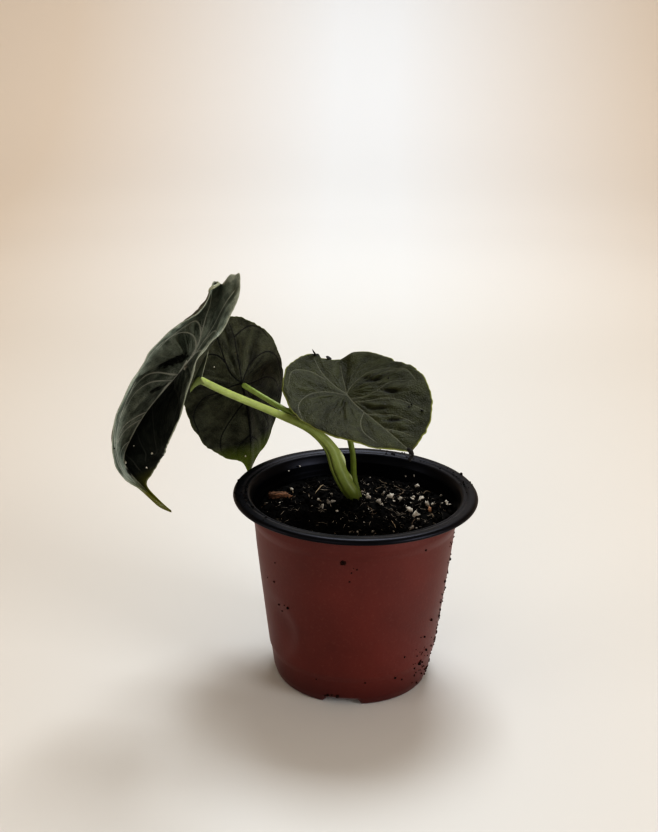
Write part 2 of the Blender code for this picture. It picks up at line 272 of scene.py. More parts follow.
def black_polypropylene(name, gloss):
    """The sheet's black inner layer, dark and glossy; a copy with little gloss is painted shade inside
    the pot.
    """
    made, tree, shader = new_material(
        name, ior=1.49, specular_ior_level=gloss, specular_tint="#dcdff6"
    )
    place = node(tree, "TexCoord", {}).outputs["Object"]
    smear = node(
        tree, "TexNoise", {"Vector": place, "Scale": 120.0, "Detail": 6.0, "Roughness": 0.7}
    )
    tone = node(tree, "ValToRGB", {"Fac": smear}, {0.35: "#010102", 0.8: "#050509"})
    rough = node(tree, "MapRange", {"Value": smear, 3: 0.3, 4: 0.5})
    bump = node(tree, "Bump", {"Height": smear, "Strength": 0.12, "Distance": 0.0005})
    connect(shader, {"Base Color": tone, "Roughness": rough, "Normal": bump})
    return made


def pot_radius(angle, height):
    """How far the warm sheet sagged outwards, in millimetres, at an angle and a height.

    The body is a little oval, with broad ripples. Low on the left it is pressed in: the dent
    is deepest just left of its curved right edge, past being the turn from there.
    """
    share = np.clip((height - FOOT_HEIGHT) / 30, 0, 1) * np.clip((COLLAR_BOTTOM - height) / 12, 0, 1)
    oval = 0.25 * np.cos(2 * angle + 0.7) + 0.12 * np.cos(5 * angle + height / 25)
    past = np.clip(-turn_past(DENT_EDGE, angle) - 0.0012 * (height - 29) ** 2, 0, None)
    upright = np.exp(-(((height - DENT_MIDDLE) / DENT_HALF_HEIGHT) ** 4))
    dent = (1 - near(past, 0, 0.17)) * near(past, 0, 0.42) * upright
    return share * oval - DENT_DEPTH * dent


def pot_mesh():
    """The outline turned about the z axis, with the sag added and the notches raised."""
    outline = rounded(POT_OUTLINE, POT_CORNER, POT_STRETCH)
    radius, height = outline[:, :1], outline[:, 1:]
    angle = all_round(POT_COLUMNS)
    span = math.tau / NOTCH_COUNT
    off = np.abs((angle - FIRST_NOTCH + span / 2) % span - span / 2) / NOTCH_HALF_ANGLE
    arch = np.clip(1.6 - 1.6 * off**3, 0, 1)
    outer = np.clip((radius - BASE_RADIUS + NOTCH_DEPTH) / 0.5, 0, 1)
    lifted = height + NOTCH_HEIGHT * arch * outer * np.clip(1 - height / 4, 0, 1)
    wide = radius + pot_radius(angle, height) * (radius > BODY_BOTTOM_RADIUS - 3 * WALL)
    past_rim = np.arange(len(outline)) > outline[:, 0].argmax()
    red = past_rim & (outline[:, 1] < POT_HEIGHT - RED_BELOW_RIM)
    liner = ~past_rim & (outline[:, 1] < POT_HEIGHT - LINER_BELOW_RIM)
    skins = (
        black_polypropylene("black_polypropylene", 0.22),
        red_polypropylene(),
        # Painted shade: inside the pot the liner is a copy with its reflection turned down.
        black_polypropylene("shade_dimmed_black_polypropylene", 0.05),
    )
    return ring_mesh("pot_shell", spun(wide, angle, lifted), skins, red + 2 * liner)


piece(pot_mesh(), "pot_plastic", "pot")


# Dirt on the pot
# Grains of the potting mix that stuck to the pot when it was filled: a few specks on the
# front, a smear below the collar, and a line of crumbs down its right side and round the rim.
# Angle in degrees, height and size
POT_SPECKS = (
    (-141, 59.5, 0.5), (-152, 49.5, 0.5), (-144, 50.0, 0.8), (-142, 40.0, 0.9), (-140, 37.5, 0.6),
    (-133, 41.0, 0.9), (-136, 41.5, 0.5), (-48, 69.5, 1.0), (-36, 26.5, 0.8), (-53, 21.0, 0.7),
    (-90, 65.5, 0.6), (-88, 65.0, 0.5), (-91, 63.5, 0.6), (-92, 59.5, 0.5), (-58, 11.5, 0.9),
    (-52, 9.5, 0.6), (-34, 3.5, 0.8), (-37, 14.0, 1.3), (-41, 12.5, 0.8), (-114, 11.0, 0.6),
    (-106, 4.2, 1.1), (-103, 4.6, 0.9), (-99, 4.4, 1.3), (-108, 3.6, 0.7), (-80, 11.5, 0.8),
)
DRIP_AT = (-95.7, 67.8)
DRIP_GRAINS = 22
SIDE_CRUMBS = 110
FOOT_CRUMBS = 30
RIM_CRUMBS = 150
RIM_DIRTY_AT = np.radians((186, 62, 205, 20))


def ball(detail):
    """Points and triangles of a unit ball made from an icosahedron."""
    shape = bmesh.new()
    bmesh.ops.create_icosphere(shape, subdivisions=detail, radius=1.0)
    points = np.array([vertex.co for vertex in shape.verts])
    faces = np.array([[vertex.index for vertex in face.verts] for face in shape.faces])
    shape.free()
    return points, faces


def turned(vectors, angles):
    """Turn rows of vectors by three angles each: about x, then y, then z."""
    cos, sin = np.cos(angles)[..., None], np.sin(angles)[..., None]
    x, y, z = np.moveaxis(vectors, -1, 0)
    y, z = y * cos[:, 0] - z * sin[:, 0], y * sin[:, 0] + z * cos[:, 0]
    x, z = x * cos[:, 1] + z * sin[:, 1], z * cos[:, 1] - x * sin[:, 1]
    x, y = x * cos[:, 2] - y * sin[:, 2], x * sin[:, 2] + y * cos[:, 2]
    return np.stack([x, y, z], axis=-1)


def grain_mesh(name, skin, middles, sizes, seed, lumpy=0.35, detail=1):
    """Many small lumps in one mesh, each a ball swollen by noise, stretched and turned.

    Sizes are the three diameters of each lump. The field shade is one random number a lump.
    """
    draw = np.random.default_rng(seed)
    count = len(middles)
    points, faces = ball(detail)
    apart = draw.uniform(0, 90, (count, 1, 3))
    swell = 1 + lumpy * noise(points * 1.3 + apart, 1.0, seed)[..., None]
    lumps = points * swell * np.asarray(sizes)[:, None] / 2
    lumps = turned(lumps, draw.uniform(0, math.tau, (count, 3)) * (0.15, 0.15, 1.0))
    lumps += np.asarray(middles)[:, None]
    every = (faces + len(points) * np.arange(count)[:, None, None]).reshape(-1, 3)
    shade = np.repeat(draw.random(count), len(points))
    return new_mesh(name, lumps, every.tolist(), [skin], shade=shade)


def peat(name, dark, light, roughness=0.75):
    """Damp peat: nearly black, each crumb a little different, with a rough broken surface."""
    made, tree, shader = new_material(name, roughness=roughness, ior=1.4, specular_ior_level=0.12)
    place = node(tree, "TexCoord", {}).outputs["Object"]
    shade = node(tree, "Attribute", {}, attribute_name="shade").outputs["Fac"]
    grit = node(tree, "TexNoise", {"Vector": place, "Scale": 1600.0, "Detail": 4.0})
    mixed = node(tree, "Math", {0: shade, 1: grit}, operation="MULTIPLY")
    tone = node(tree, "ValToRGB", {"Fac": mixed}, {0.1: dark, 0.6: light})
    bump = node(tree, "Bump", {"Height": grit, "Strength": 0.6, "Distance": 0.0004})
    connect(shader, {"Base Color": tone, "Normal": bump})
    return made


def outside_radius(height):
    """The pot's outer radius at a height."""
    outside = POT_OUTLINE[17:26]
    return np.interp(height, [z for _, z in outside[::-1]], [r for r, _ in outside[::-1]])


def pot_dirt():
    """The crumbs on the pot's outer side, and those on its rim."""
    draw = np.random.default_rng(5)
    angle, height, size = np.array(POT_SPECKS).T
    turn = 2.4 * np.arange(DRIP_GRAINS)
    away = np.sqrt(turn / turn[-1])
    drip_angle = DRIP_AT[0] + 1.5 * away * np.cos(turn)
    drip_height = DRIP_AT[1] + 1.1 * away * np.sin(turn)
    angle = np.concatenate([angle, drip_angle, draw.normal(-35, 5, FOOT_CRUMBS)])
    height = np.concatenate([height, drip_height, draw.normal(15, 5, FOOT_CRUMBS)])
    size = np.concatenate([1.35 * size, 0.7 + 0 * turn, 0.35 + draw.gamma(1.5, 0.25, FOOT_CRUMBS)])
    angle = np.concatenate([np.radians(angle), draw.normal(-0.2, 0.14, SIDE_CRUMBS)])
    height = np.concatenate([height, draw.uniform(2, 68, SIDE_CRUMBS)])
    size = np.concatenate([size, 0.4 + draw.gamma(1.8, 0.24, SIDE_CRUMBS)])
    radius = outside_radius(height) + pot_radius(angle, height) * (height < COLLAR_BOTTOM)
    turn = draw.choice(RIM_DIRTY_AT, RIM_CRUMBS) + draw.normal(0, 0.16, RIM_CRUMBS)
    on_rim = draw.uniform(MOUTH_RADIUS - 0.2, RIM_RADIUS - 0.6, RIM_CRUMBS)
    height = np.concatenate([height, np.full(RIM_CRUMBS, POT_HEIGHT - 0.25)])
    size = np.concatenate([size, 0.3 + draw.gamma(1.5, 0.2, RIM_CRUMBS)])
    middles = spun(np.concatenate([radius, on_rim]), np.concatenate([angle, turn]), height)
    sizes = size[:, None] * draw.uniform(0.6, 1.2, (len(size), 3))
    reddish = peat("reddish_dirt", "#160b08", "#3a2019")
    damp = peat("damp_dirt", "#070606", "#262322", 0.5)
    return (
        grain_mesh("pot_dirt", reddish, middles[:-RIM_CRUMBS], sizes[:-RIM_CRUMBS], 6),
        grain_mesh("rim_dirt", damp, middles[-RIM_CRUMBS:], sizes[-RIM_CRUMBS:], 7),
    )


for crumbs in pot_dirt():
    piece(crumbs, "potting_soil")


# Soil
# A peat mix, dark and damp, filled to just under the collar with a low mound round the stems.
# The body is one closed mass, and its broken surface is made by loose crumbs lying on it.
SOIL_LEVEL = 71.8
# Radius and height up the inside of the pot's wall
SOIL_WALL = ((1.0, 3.1), (29.4, 3.1), (31.0, 9.5), (33.2, 32.0), (37.6, 62.0), (40.0, 71.0))
MOUND_HEIGHT = 0.9
MOUND_REACH = 12.0
MOUND_MIDDLE = (-1.0, 11.0)
SOIL_COLUMNS = 240
SOIL_RINGS = 64
CRUMBS = 1700
CRUMB_REACH = 39.2
LARGEST_CRUMB = 3.2


def on_plane(x, y):
    """Points at x and y with no height."""
    return np.stack([x, y, 0 * x], axis=-1)


def soil_height(x, y):
    """Height of the soil: the mound with broad waves, and clods two to five millimetres wide."""
    away = (x - MOUND_MIDDLE[0]) ** 2 + (y - MOUND_MIDDLE[1]) ** 2
    mound = MOUND_HEIGHT * np.exp(-away / MOUND_REACH**2)
    waves = 0.35 * np.sin(0.21 * x + 0.8) * np.cos(0.17 * y - 0.4)
    spot = on_plane(x, y)
    clods = 0.75 * noise(spot, 4.5, 11) + 0.4 * noise(spot, 2.0, 12) + 0.2 * noise(spot, 0.9, 13)
    return SOIL_LEVEL + mound + waves + clods


def soil_mesh():
    """Rings from the middle of the floor, up the wall, and in over the surface."""
    angle = all_round(SOIL_COLUMNS)
    low = np.array(SOIL_WALL)[:, :, None] + 0 * angle
    inward = np.linspace(SOIL_WALL[-1][0] - 0.1, 0.6, SOIL_RINGS)[:, None] + 0 * angle
    top = soil_height(inward * np.cos(angle), inward * np.sin(angle))
    rings = spun(np.concatenate([low[:, 0], inward]), angle, np.concatenate([low[:, 1], top]))
    shade = 0.5 + 0.5 * noise(rings, 3.0, 14)
    return ring_mesh("soil_body", rings, [peat("damp_peat", "#010101", "#070504")], shade=shade)


def on_soil(draw, count, reach):
    """Random points spread evenly over a round of the soil."""
    radius = reach * np.sqrt(draw.random(count))
    angle = draw.uniform(0, math.tau, count)
    return np.stack([radius * np.cos(angle), radius * np.sin(angle)], axis=-1)


def soil_crumbs():
    """Crumbs of peat from half a millimetre to three, half sunk in the surface."""
    draw = np.random.default_rng(21)
    spot = on_soil(draw, CRUMBS, CRUMB_REACH)
    size = 0.6 + draw.gamma(2.0, 0.42, CRUMBS)
    height = soil_height(spot[:, 0], spot[:, 1]) + 0.1 * size
    sizes = np.minimum(size, LARGEST_CRUMB)[:, None] * draw.uniform(0.55, 1.25, (CRUMBS, 3))
    middles = np.column_stack([spot, height])
    skin = peat("peat_crumbs", "#010101", "#140e0a")
    return grain_mesh("soil_crumbs", skin, middles, sizes * (1, 1, 0.8), 22, 0.9)


piece(soil_mesh(), "potting_soil", "soil")
piece(soil_crumbs(), "potting_soil")


# Perlite
# Grains of expanded volcanic glass mixed into the peat: white, lumpy and rough, and
# stained here and there. The larger ones are where the plant's own are, the rest at random.
# x, y and size
PERLITE = (
    (11.7, 17.6, 2.1), (14.9, 13.6, 2.4), (13.6, 14.2, 1.7), (18.8, 12.4, 2.4), (23.6, 13.4, 2.6),
    (24.6, 15.0, 1.8), (27.5, 12.6, 2.6), (26.6, 26.0, 2.4), (10.0, 6.3, 2.7), (11.0, 5.0, 1.8),
    (4.6, 12.6, 2.6), (5.6, 10.6, 2.0), (3.4, 14.6, 1.5), (22.4, 0.6, 2.7), (23.4, 2.2, 1.6),
    (25.1, -2.6, 2.6), (29.6, 6.7, 2.6), (32.0, 7.6, 1.4), (38.1, 9.6, 2.2), (39.0, 7.2, 1.9),
    (20.7, 6.1, 1.4), (16.2, 9.3, 1.5), (5.4, -0.7, 1.3), (23.1, -16.6, 2.4), (24.8, -16.0, 1.6),
    (25.8, -7.5, 1.2), (-1.7, -21.6, 1.3), (1.2, -21.8, 1.3), (-13.6, 2.2, 2.3),
    (-11.4, 5.7, 2.2), (-9.2, 6.4, 2.4), (-5.1, -10.5, 1.7), (-7.3, -0.3, 1.3),
    (-10.0, 14.3, 1.3), (-15.4, 9.0, 1.9), (-19.3, 13.8, 1.5), (-27.4, 21.0, 1.8),
    (-31.2, 3.3, 1.2), (-17.9, 3.3, 1.3), (37.0, 20.0, 1.3), (36.0, 17.0, 1.3),
)
STAINED_GRAIN = (30.4, 2.4, 2.4)
WALL_GRAINS = ((-29.0, 28.9, 77.2), (-24.4, 32.9, 78.0), (25.2, 32.2, 75.2), (21.5, 34.6, 73.9))
WALL_GRAIN_SIZE = 0.8
SMALL_PERLITE = 70
PERLITE_REACH = 38.0


def perlite_skin(name, dark, light):
    """Expanded volcanic glass: matt, off-white, and pitted like pumice."""
    made, tree, shader = new_material(name, roughness=0.9)
    place = node(tree, "TexCoord", {}).outputs["Object"]
    shade = node(tree, "Attribute", {}, attribute_name="shade").outputs["Fac"]
    stain = node(tree, "TexNoise", {"Vector": place, "Scale": 900.0, "Detail": 4.0})
    mixed = node(tree, "Math", {0: shade, 1: stain}, operation="ADD")
    tone = node(tree, "ValToRGB", {"Fac": mixed}, {0.45: dark, 0.95: light})
    pits = node(tree, "TexVoronoi", {"Vector": place, "Scale": 2200.0})
    bump = node(tree, "Bump", {"Height": pits, "Strength": 0.5, "Distance": 0.0003})
    connect(shader, {"Base Color": tone, "Normal": bump})
    return made


def perlite_mesh():
    """The placed grains, smaller ones at random towards the right front, and four on the wall."""
    draw = np.random.default_rng(31)
    placed = np.array(PERLITE)
    spot = on_soil(draw, SMALL_PERLITE, PERLITE_REACH)
    spot = spot[draw.random(SMALL_PERLITE) < 0.45 + 0.55 * (spot[:, 0] > -4)]
    small = 0.35 + draw.gamma(1.6, 0.2, len(spot))
    spot = np.concatenate([placed[:, :2], spot])
    size = np.concatenate([placed[:, 2], small])
    height = soil_height(spot[:, 0], spot[:, 1]) + 0.25 * size + 0.15
    middles = np.concatenate([np.column_stack([spot, height]), WALL_GRAINS])
    size = np.concatenate([0.82 * size, np.full(len(WALL_GRAINS), WALL_GRAIN_SIZE)])
    sizes = size[:, None] * draw.uniform(0.65, 1.15, (len(size), 3))
    skin = perlite_skin("perlite", "#6f675d", "#c9c4ba")
    return grain_mesh("perlite_grains", skin, middles, sizes, 32, 1.1, 2)


def stained_grain():
    """One grain of perlite stained brown by the peat."""
    x, y, size = STAINED_GRAIN
    middle = (x, y, soil_height(x, y) + 0.5)
    skin = perlite_skin("stained_perlite", "#5f4232", "#a98469")
    return grain_mesh("stained_grain", skin, [middle], [(size, 0.8 * size, size)], 33, 1.0, 2)


piece(perlite_mesh(), "potting_soil")
piece(stained_grain(), "potting_soil")


# Fibres and bark
# Broken roots and moss fibres, pale where they have dried, lie loose on the peat. One flat
# chip of pine bark lies at the left.
# Ends of the fibres that the eye picks out: x and y twice, thickness and bow
FIBRES = (
    (10.2, 33.0, 15.7, 26.5, 0.42, 0.1), (15.7, 26.5, 17.2, 15.0, 0.46, 0.35),
    (34.3, 8.4, 37.3, 2.4, 0.5, 0.0), (13.8, -9.2, 16.5, -16.5, 0.42, 0.05),
    (2.5, 19.3, 4.0, 23.2, 0.5, 0.1), (10.8, 1.8, 5.6, -4.7, 0.3, 0.1),
    (10.0, 18.1, 13.2, 26.0, 0.36, 0.4), (22.9, -13.6, 24.8, -7.6, 0.46, 0.05),
    (30.2, -1.2, 31.6, -8.0, 0.34, 0.1), (28.9, 18.5, 32.6, 22.4, 0.4, 0.3),
    (-17.1, 17.0, -13.8, 25.0, 0.55, 0.0), (-28.2, 22.8, -26.5, 19.2, 0.6, 0.1),
    (-26.6, 7.2, -25.1, 12.8, 0.6, 0.15), (-20.1, 15.9, -18.1, 11.9, 0.7, 0.0),
    (-16.1, 11.6, -14.4, 7.4, 0.7, 0.1), (-38.6, 0.9, -36.6, 3.6, 0.5, 0.1),
    (4.6, 3.0, 7.4, -3.6, 0.5, 0.1),
)
LOOSE_FIBRES = 760
FIBRE_START_REACH = 37.0
FIBRE_END_REACH = 38.5
FIBRE_POINTS = 9
FIBRE_SIDES = 5
CHIP_MIDDLE = (-32.0, 11.8)
CHIP_SIZE = (7.8, 3.6, 2.4)


def unit(vectors):
    """The vectors, each made one long."""
    return vectors / np.linalg.norm(vectors, axis=-1, keepdims=True)


def fibre_mesh(name, skin, starts, ends, widths, bows, seed):
    """Thin tapered tubes along bowed lines that follow the soil.

    The line is start + t (end - start), pushed aside by bow * length * sin(pi t).
    """
    draw = np.random.default_rng(seed)
    t = np.linspace(0, 1, FIBRE_POINTS)[:, None]
    along = (ends - starts)[:, None]
    aside = along[..., ::-1] * (-1, 1) * np.asarray(bows)[:, None, None]
    flat = starts[:, None] + t * along + np.sin(math.pi * t) * aside
    x, y = flat[..., 0], flat[..., 1]
    height = soil_height(x, y) + (0.35 + 0.5 * noise(on_plane(x, y) + 50, 3.0, seed))
    line = np.stack([x, y, height], axis=-1)
    forward = unit(np.gradient(line, axis=1))
    side = unit(np.cross(forward, (0, 0, 1)))
    up = np.cross(side, forward)
    turn = all_round(FIBRE_SIDES)
    taper = np.sqrt(np.sin(math.pi * (0.04 + 0.92 * t)))[..., None]
    thick = np.asarray(widths)[:, None, None, None] / 2 * taper
    ring = np.cos(turn)[:, None] * side[:, :, None] + np.sin(turn)[:, None] * up[:, :, None]
    tubes = line[:, :, None] + thick * ring
    count, size = len(starts), FIBRE_POINTS * FIBRE_SIDES
    low = np.arange(size - FIBRE_SIDES).reshape(-1, FIBRE_SIDES)
    ahead = np.roll(low, -1, 1)
    quads = np.stack([low + FIBRE_SIDES, ahead + FIBRE_SIDES, ahead, low], -1).reshape(-1, 4)
    caps = np.stack([low[0], low[-1, ::-1] + FIBRE_SIDES])
    each = np.arange(count)[:, None, None] * size
    faces = (quads + each).reshape(-1, 4).tolist() + (caps + each).reshape(-1, FIBRE_SIDES).tolist()
    return new_mesh(name, tubes, faces, [skin], shade=np.repeat(draw.random(count), size))


def dry_fibre(name, dark, light):
    """Dried root and moss fibre: matt, straw to dark brown, with a fine grain."""
    made, tree, shader = new_material(name, roughness=0.8)
    place = node(tree, "TexCoord", {}).outputs["Object"]
    shade = node(tree, "Attribute", {}, attribute_name="shade").outputs["Fac"]
    grain = node(tree, "TexNoise", {"Vector": place, "Scale": 1200.0, "Detail": 3.0})
    mixed = node(tree, "Math", {0: shade, 1: grain}, operation="MULTIPLY")
    tone = node(tree, "ValToRGB", {"Fac": mixed}, {0.14: dark, 0.5: light})
    connect(shader, {"Base Color": tone})
    return made


def loose_fibres():
    """Short dark fibres in all directions over the whole surface, denser at the right front."""
    draw = np.random.default_rng(41)
    start = on_soil(draw, LOOSE_FIBRES, FIBRE_START_REACH)
    start = start[draw.random(LOOSE_FIBRES) < 0.55 + 0.45 * (start[:, 0] > 0)]
    count = len(start)
    heading = draw.uniform(0, math.tau, count)
    length = 0.9 + draw.gamma(1.8, 0.9, count)
    end = start + length[:, None] * np.stack([np.cos(heading), np.sin(heading)], axis=-1)
    end *= np.minimum(1, FIBRE_END_REACH / np.linalg.norm(end, axis=-1))[:, None]
    width = draw.uniform(0.12, 0.32, count)
    bow = draw.normal(0, 0.06, count)
    skin = dry_fibre("peat_fibre", "#050403", "#aca294")
    return fibre_mesh("loose_fibres", skin, start, end, width, bow, 42)


def pale_fibres():
    """The larger dried roots and straws that show from a step away."""
    rows = np.array(FIBRES)
    skin = dry_fibre("dried_root", "#5b4c3c", "#b9a78c")
    return fibre_mesh("pale_fibres", skin, rows[:, :2], rows[:, 2:4], rows[:, 4], rows[:, 5], 43)


def pine_bark():
    """Split pine bark: matt, cork brown to nearly black, with a grain along the chip."""
    made, tree, shader = new_material("pine_bark", roughness=0.85)
    place = node(tree, "TexCoord", {}).outputs["Object"]
    long = node(tree, "Mapping", {"Vector": place, "Scale": (0.25, 1.0, 1.0)})
    grain = node(tree, "TexNoise", {"Vector": long, "Scale": 1500.0, "Detail": 5.0})
    tone = node(tree, "ValToRGB", {"Fac": grain}, {0.35: "#24160f", 0.7: "#9c7356"})
    connect(shader, {"Base Color": tone})
    return made


def bark_chip():
    """A flat split chip: a ball stretched to the chip's size and broken up by noise."""
    points, faces = ball(5)
    shape = np.sign(points) * np.abs(points) ** (0.7, 0.5, 0.5) * np.array(CHIP_SIZE) / 2
    rough = noise(points * (1.6, 2, 2), 1.0, 51) + 0.8 * noise(points * (3, 9, 9), 1.0, 52)
    shape *= 1 + 0.5 * rough[:, None]
    shape += (*CHIP_MIDDLE, soil_height(*CHIP_MIDDLE) + 0.9)
    return new_mesh("bark_chip", shape, faces.tolist(), [pine_bark()])


piece(loose_fibres(), "potting_soil")
piece(pale_fibres(), "potting_soil")
piece(bark_chip(), "potting_soil")


# Petioles
# The leaf stalks: juicy, smooth and pale green. The left one is the oldest and thickest. Its
# foot is a sheath, folded shut along one side, out of which the back one grows, and the right
# one leaves the soil beside it. Each is a solid strand, ridged a little lengthwise.
# Points of the middle line with the radius there, from the soil upward
STEM_LEFT = (
    (2.6, 11.0, 64.0, 1.5), (0.8, 10.7, 70.5, 1.7), (-1.7, 10.4, 74.8, 2.6),
    (-4.3, 10.0, 79.5, 3.1), (-7.5, 9.5, 86.5, 3.1), (-11.0, 9.0, 96.0, 2.6),
    (-18.5, 7.5, 104.0, 1.9), (-32.0, 4.5, 111.5, 1.6), (-53.5, -1.0, 122.5, 1.48),
    (-68.4, -4.9, 131.4, 1.45),
)
STEM_BACK = (
    (-23.5, 6.5, 109.3, 1.1), (-31.0, 9.0, 112.7, 1.15), (-39.5, 15.0, 115.5, 1.1),
    (-48.2, 22.4, 118.0, 1.2),
)
STEM_RIGHT = (
    (5.0, 12.0, 61.0, 1.3), (2.0, 12.0, 70.5, 1.5), (-0.7, 12.0, 81.5, 1.35),
    (-1.5, 11.5, 92.0, 1.2), (-4.0, 11.5, 105.0, 1.2), (-4.5, 13.3, 116.8, 1.25),
)
STEM_SHEATH = (
    (-15.6, 8.6, 101.6, 1.0), (-17.4, 8.2, 103.9, 1.6), (-21.0, 8.0, 106.6, 1.7),
    (-26.0, 8.0, 110.1, 1.55), (-29.6, 8.8, 112.2, 1.3),
)
STEM_SIDES = 72
SEAM_AT = math.radians(-60)
EDGE_AT = math.radians(180)


def through(points, at):
    """Smooth curve through the points: a cubic between each two, with shared slopes."""
    points = np.asarray(points, float)
    gaps = np.sqrt(np.linalg.norm(np.diff(points, axis=0), axis=1))
    knots = np.concatenate([[0.0], np.cumsum(gaps)]) / gaps.sum()
    slopes = np.gradient(points, knots, axis=0)
    left = np.clip(np.searchsorted(knots, at, side="right") - 1, 0, len(knots) - 2)
    gap = (knots[left + 1] - knots[left])[:, None]
    t = (at - knots[left])[:, None] / gap
    return (
        (2 * t**3 - 3 * t**2 + 1) * points[left]
        + (t**3 - 2 * t**2 + t) * gap * slopes[left]
        + (3 * t**2 - 2 * t**3) * points[left + 1]
        + (t**3 - t**2) * gap * slopes[left + 1]
    )


def stalk_rings(stem, swell, stations):
    """Rings along a stem. Angle 0 looks to the left of its middle line, -90 degrees to the front.

    Swell(run, angle) multiplies the radius, where run is the length from the stem's foot.
    """
    path = through(stem, np.linspace(0, 1, stations))
    line, radius = path[:, :3], path[:, 3]
    run = np.concatenate([[0], np.cumsum(np.linalg.norm(np.diff(line, axis=0), axis=1))])
    forward = unit(np.gradient(line, axis=0))
    side = unit(np.cross(forward, (0, 1, 0)))
    depth = np.cross(side, forward)
    angle = all_round(STEM_SIDES)
    closed = np.sqrt(np.clip(1 - ((run - run[-1]) / radius[-1] + 1).clip(0) ** 2, 0.02, 1))
    wide = (radius * closed)[:, None] * swell(run[:, None], angle)
    around = np.cos(angle)[:, None] * side[:, None] + np.sin(angle)[:, None] * depth[:, None]
    return line[:, None] + wide[..., None] * around, run


def ridged(run, angle):
    """Fine lengthwise ridges, deeper on one side than the other."""
    return 1 + 0.012 * np.cos(9 * angle + 0.02 * run) + 0.008 * np.cos(17 * angle)


def left_swell(run, angle):
    """The sheath: its overlapped seam in front, its free edge behind, and a wide foot."""
    off, edge = turn_past(SEAM_AT, angle), turn_past(EDGE_AT, angle)
    open_part = np.clip((run - 12) / 8, 0, 1) * np.clip((47 - run) / 10, 0, 1)
    seam = -0.16 * near(off, 0, 0.1) + 0.05 * near(off, 0.3, 0.25)
    wing = 0.42 * near(run, 29, 4.5) + 0.25 * near(run, 19.5, 2.5) + 0.3 * near(run, 53, 5)
    foot = 0.32 * near(run, 12.5, 4) * np.clip(-np.cos(angle - 0.5), 0, 1)
    return ridged(run, angle) + open_part * seam + wing * near(edge, 0, 0.16) + foot


def petiole_skin(name, foot, middle, top):
    """Juicy leaf stalk: waxy skin over pale flesh, so light bleeds a little into it. It is brown
    where it leaves the soil and pale along its thin edge, and painted shade darkens its seam.
    """
    made, tree, shader = new_material(
        name,
        roughness=0.45,
        ior=1.42,
        subsurface_weight=0.25,
        subsurface_scale=0.002,
        subsurface_radius=(0.8, 1.0, 0.3),
    )
    place = node(tree, "TexCoord", {}).outputs["Object"]
    along, seam, thin = (
        node(tree, "Attribute", {}, attribute_name=field).outputs["Fac"]
        for field in ("along", "seam", "thin")
    )
    stops = {0.06: "#5a4a30", 0.1: foot, 0.4: middle, 0.95: top}
    tone = node(tree, "ValToRGB", {"Fac": along}, stops)
    streak = node(tree, "TexNoise", {"Vector": place, "Scale": 400.0, "Detail": 4.0})
    lighter = node(tree, "MapRange", {"Value": streak, 1: 0.3, 2: 0.75, 3: 0.85, 4: 1.12})
    skin = node(
        tree, "Mix", {0: 1.0, 6: tone, 7: lighter}, data_type="RGBA", blend_type="MULTIPLY"
    )
    pale = node(tree, "Mix", {0: thin, 6: skin, 7: "#b9c095"}, data_type="RGBA")
    # Painted shade in the groove of the sheath's seam.
    dark = node(tree, "Mix", {0: seam, 6: pale, 7: "#2c3312"}, data_type="RGBA")
    bump = node(tree, "Bump", {"Height": streak, "Strength": 0.15, "Distance": 0.0003})
    connect(shader, {"Base Color": dark, "Normal": bump})
    return made


def petiole(name, stem, swell, stations, skin):
    """A stalk's mesh, with its place along the stem, its seam and its thin edge as fields."""
    rings, run = stalk_rings(stem, swell, stations)
    run = run[:, None]
    angle = all_round(STEM_SIDES)
    along = run / run[-1]
    thin = np.clip((swell(run, angle) - 1.12) * 5, 0, 1) * np.clip((run - 16) / 3, 0, 1)
    shut = np.clip((along - 0.12) * 12, 0, 1) * np.clip((0.42 - along) * 9, 0, 1)
    # The seam field marks where the painted shade of the sheath's groove lies.
    seam = (swell is left_swell) * shut * near(turn_past(SEAM_AT, angle), 0, 0.07)
    return ring_mesh(name, rings, [skin], along=along + 0 * angle, seam=seam, thin=thin)


left_skin = petiole_skin("petiole_pale_green", "#5a6427", "#8b9757", "#a4b270")
back_skin = petiole_skin("petiole_mid_green", "#74853e", "#7c8f44", "#80944a")
right_skin = petiole_skin("petiole_olive_green", "#57612a", "#5f6b2b", "#5d6928")
left = petiole("petiole_left_skin", STEM_LEFT, left_swell, 320, left_skin)
back = petiole("petiole_back_skin", STEM_BACK, ridged, 90, back_skin)
sheath = petiole("petiole_back_sheath", STEM_SHEATH, ridged, 60, back_skin)
right = petiole("petiole_right_skin", STEM_RIGHT, ridged, 160, right_skin)
piece(left, "petiole_green", "petiole_left")
piece(back, "petiole_deep_green", "petiole_back")
piece(sheath, "petiole_deep_green")
piece(right, "petiole_olive", "petiole_right")


# Leaf blades
# Three arrow-shaped blades, thick and leathery, swollen between their veins. The left one is
# folded along its midrib and shows its upper side, the back one turns its underside to the
# front, and the right one faces up and forward.
BLADE = 0.6
HALF_COLUMNS = 236
BLADE_ROWS = 80
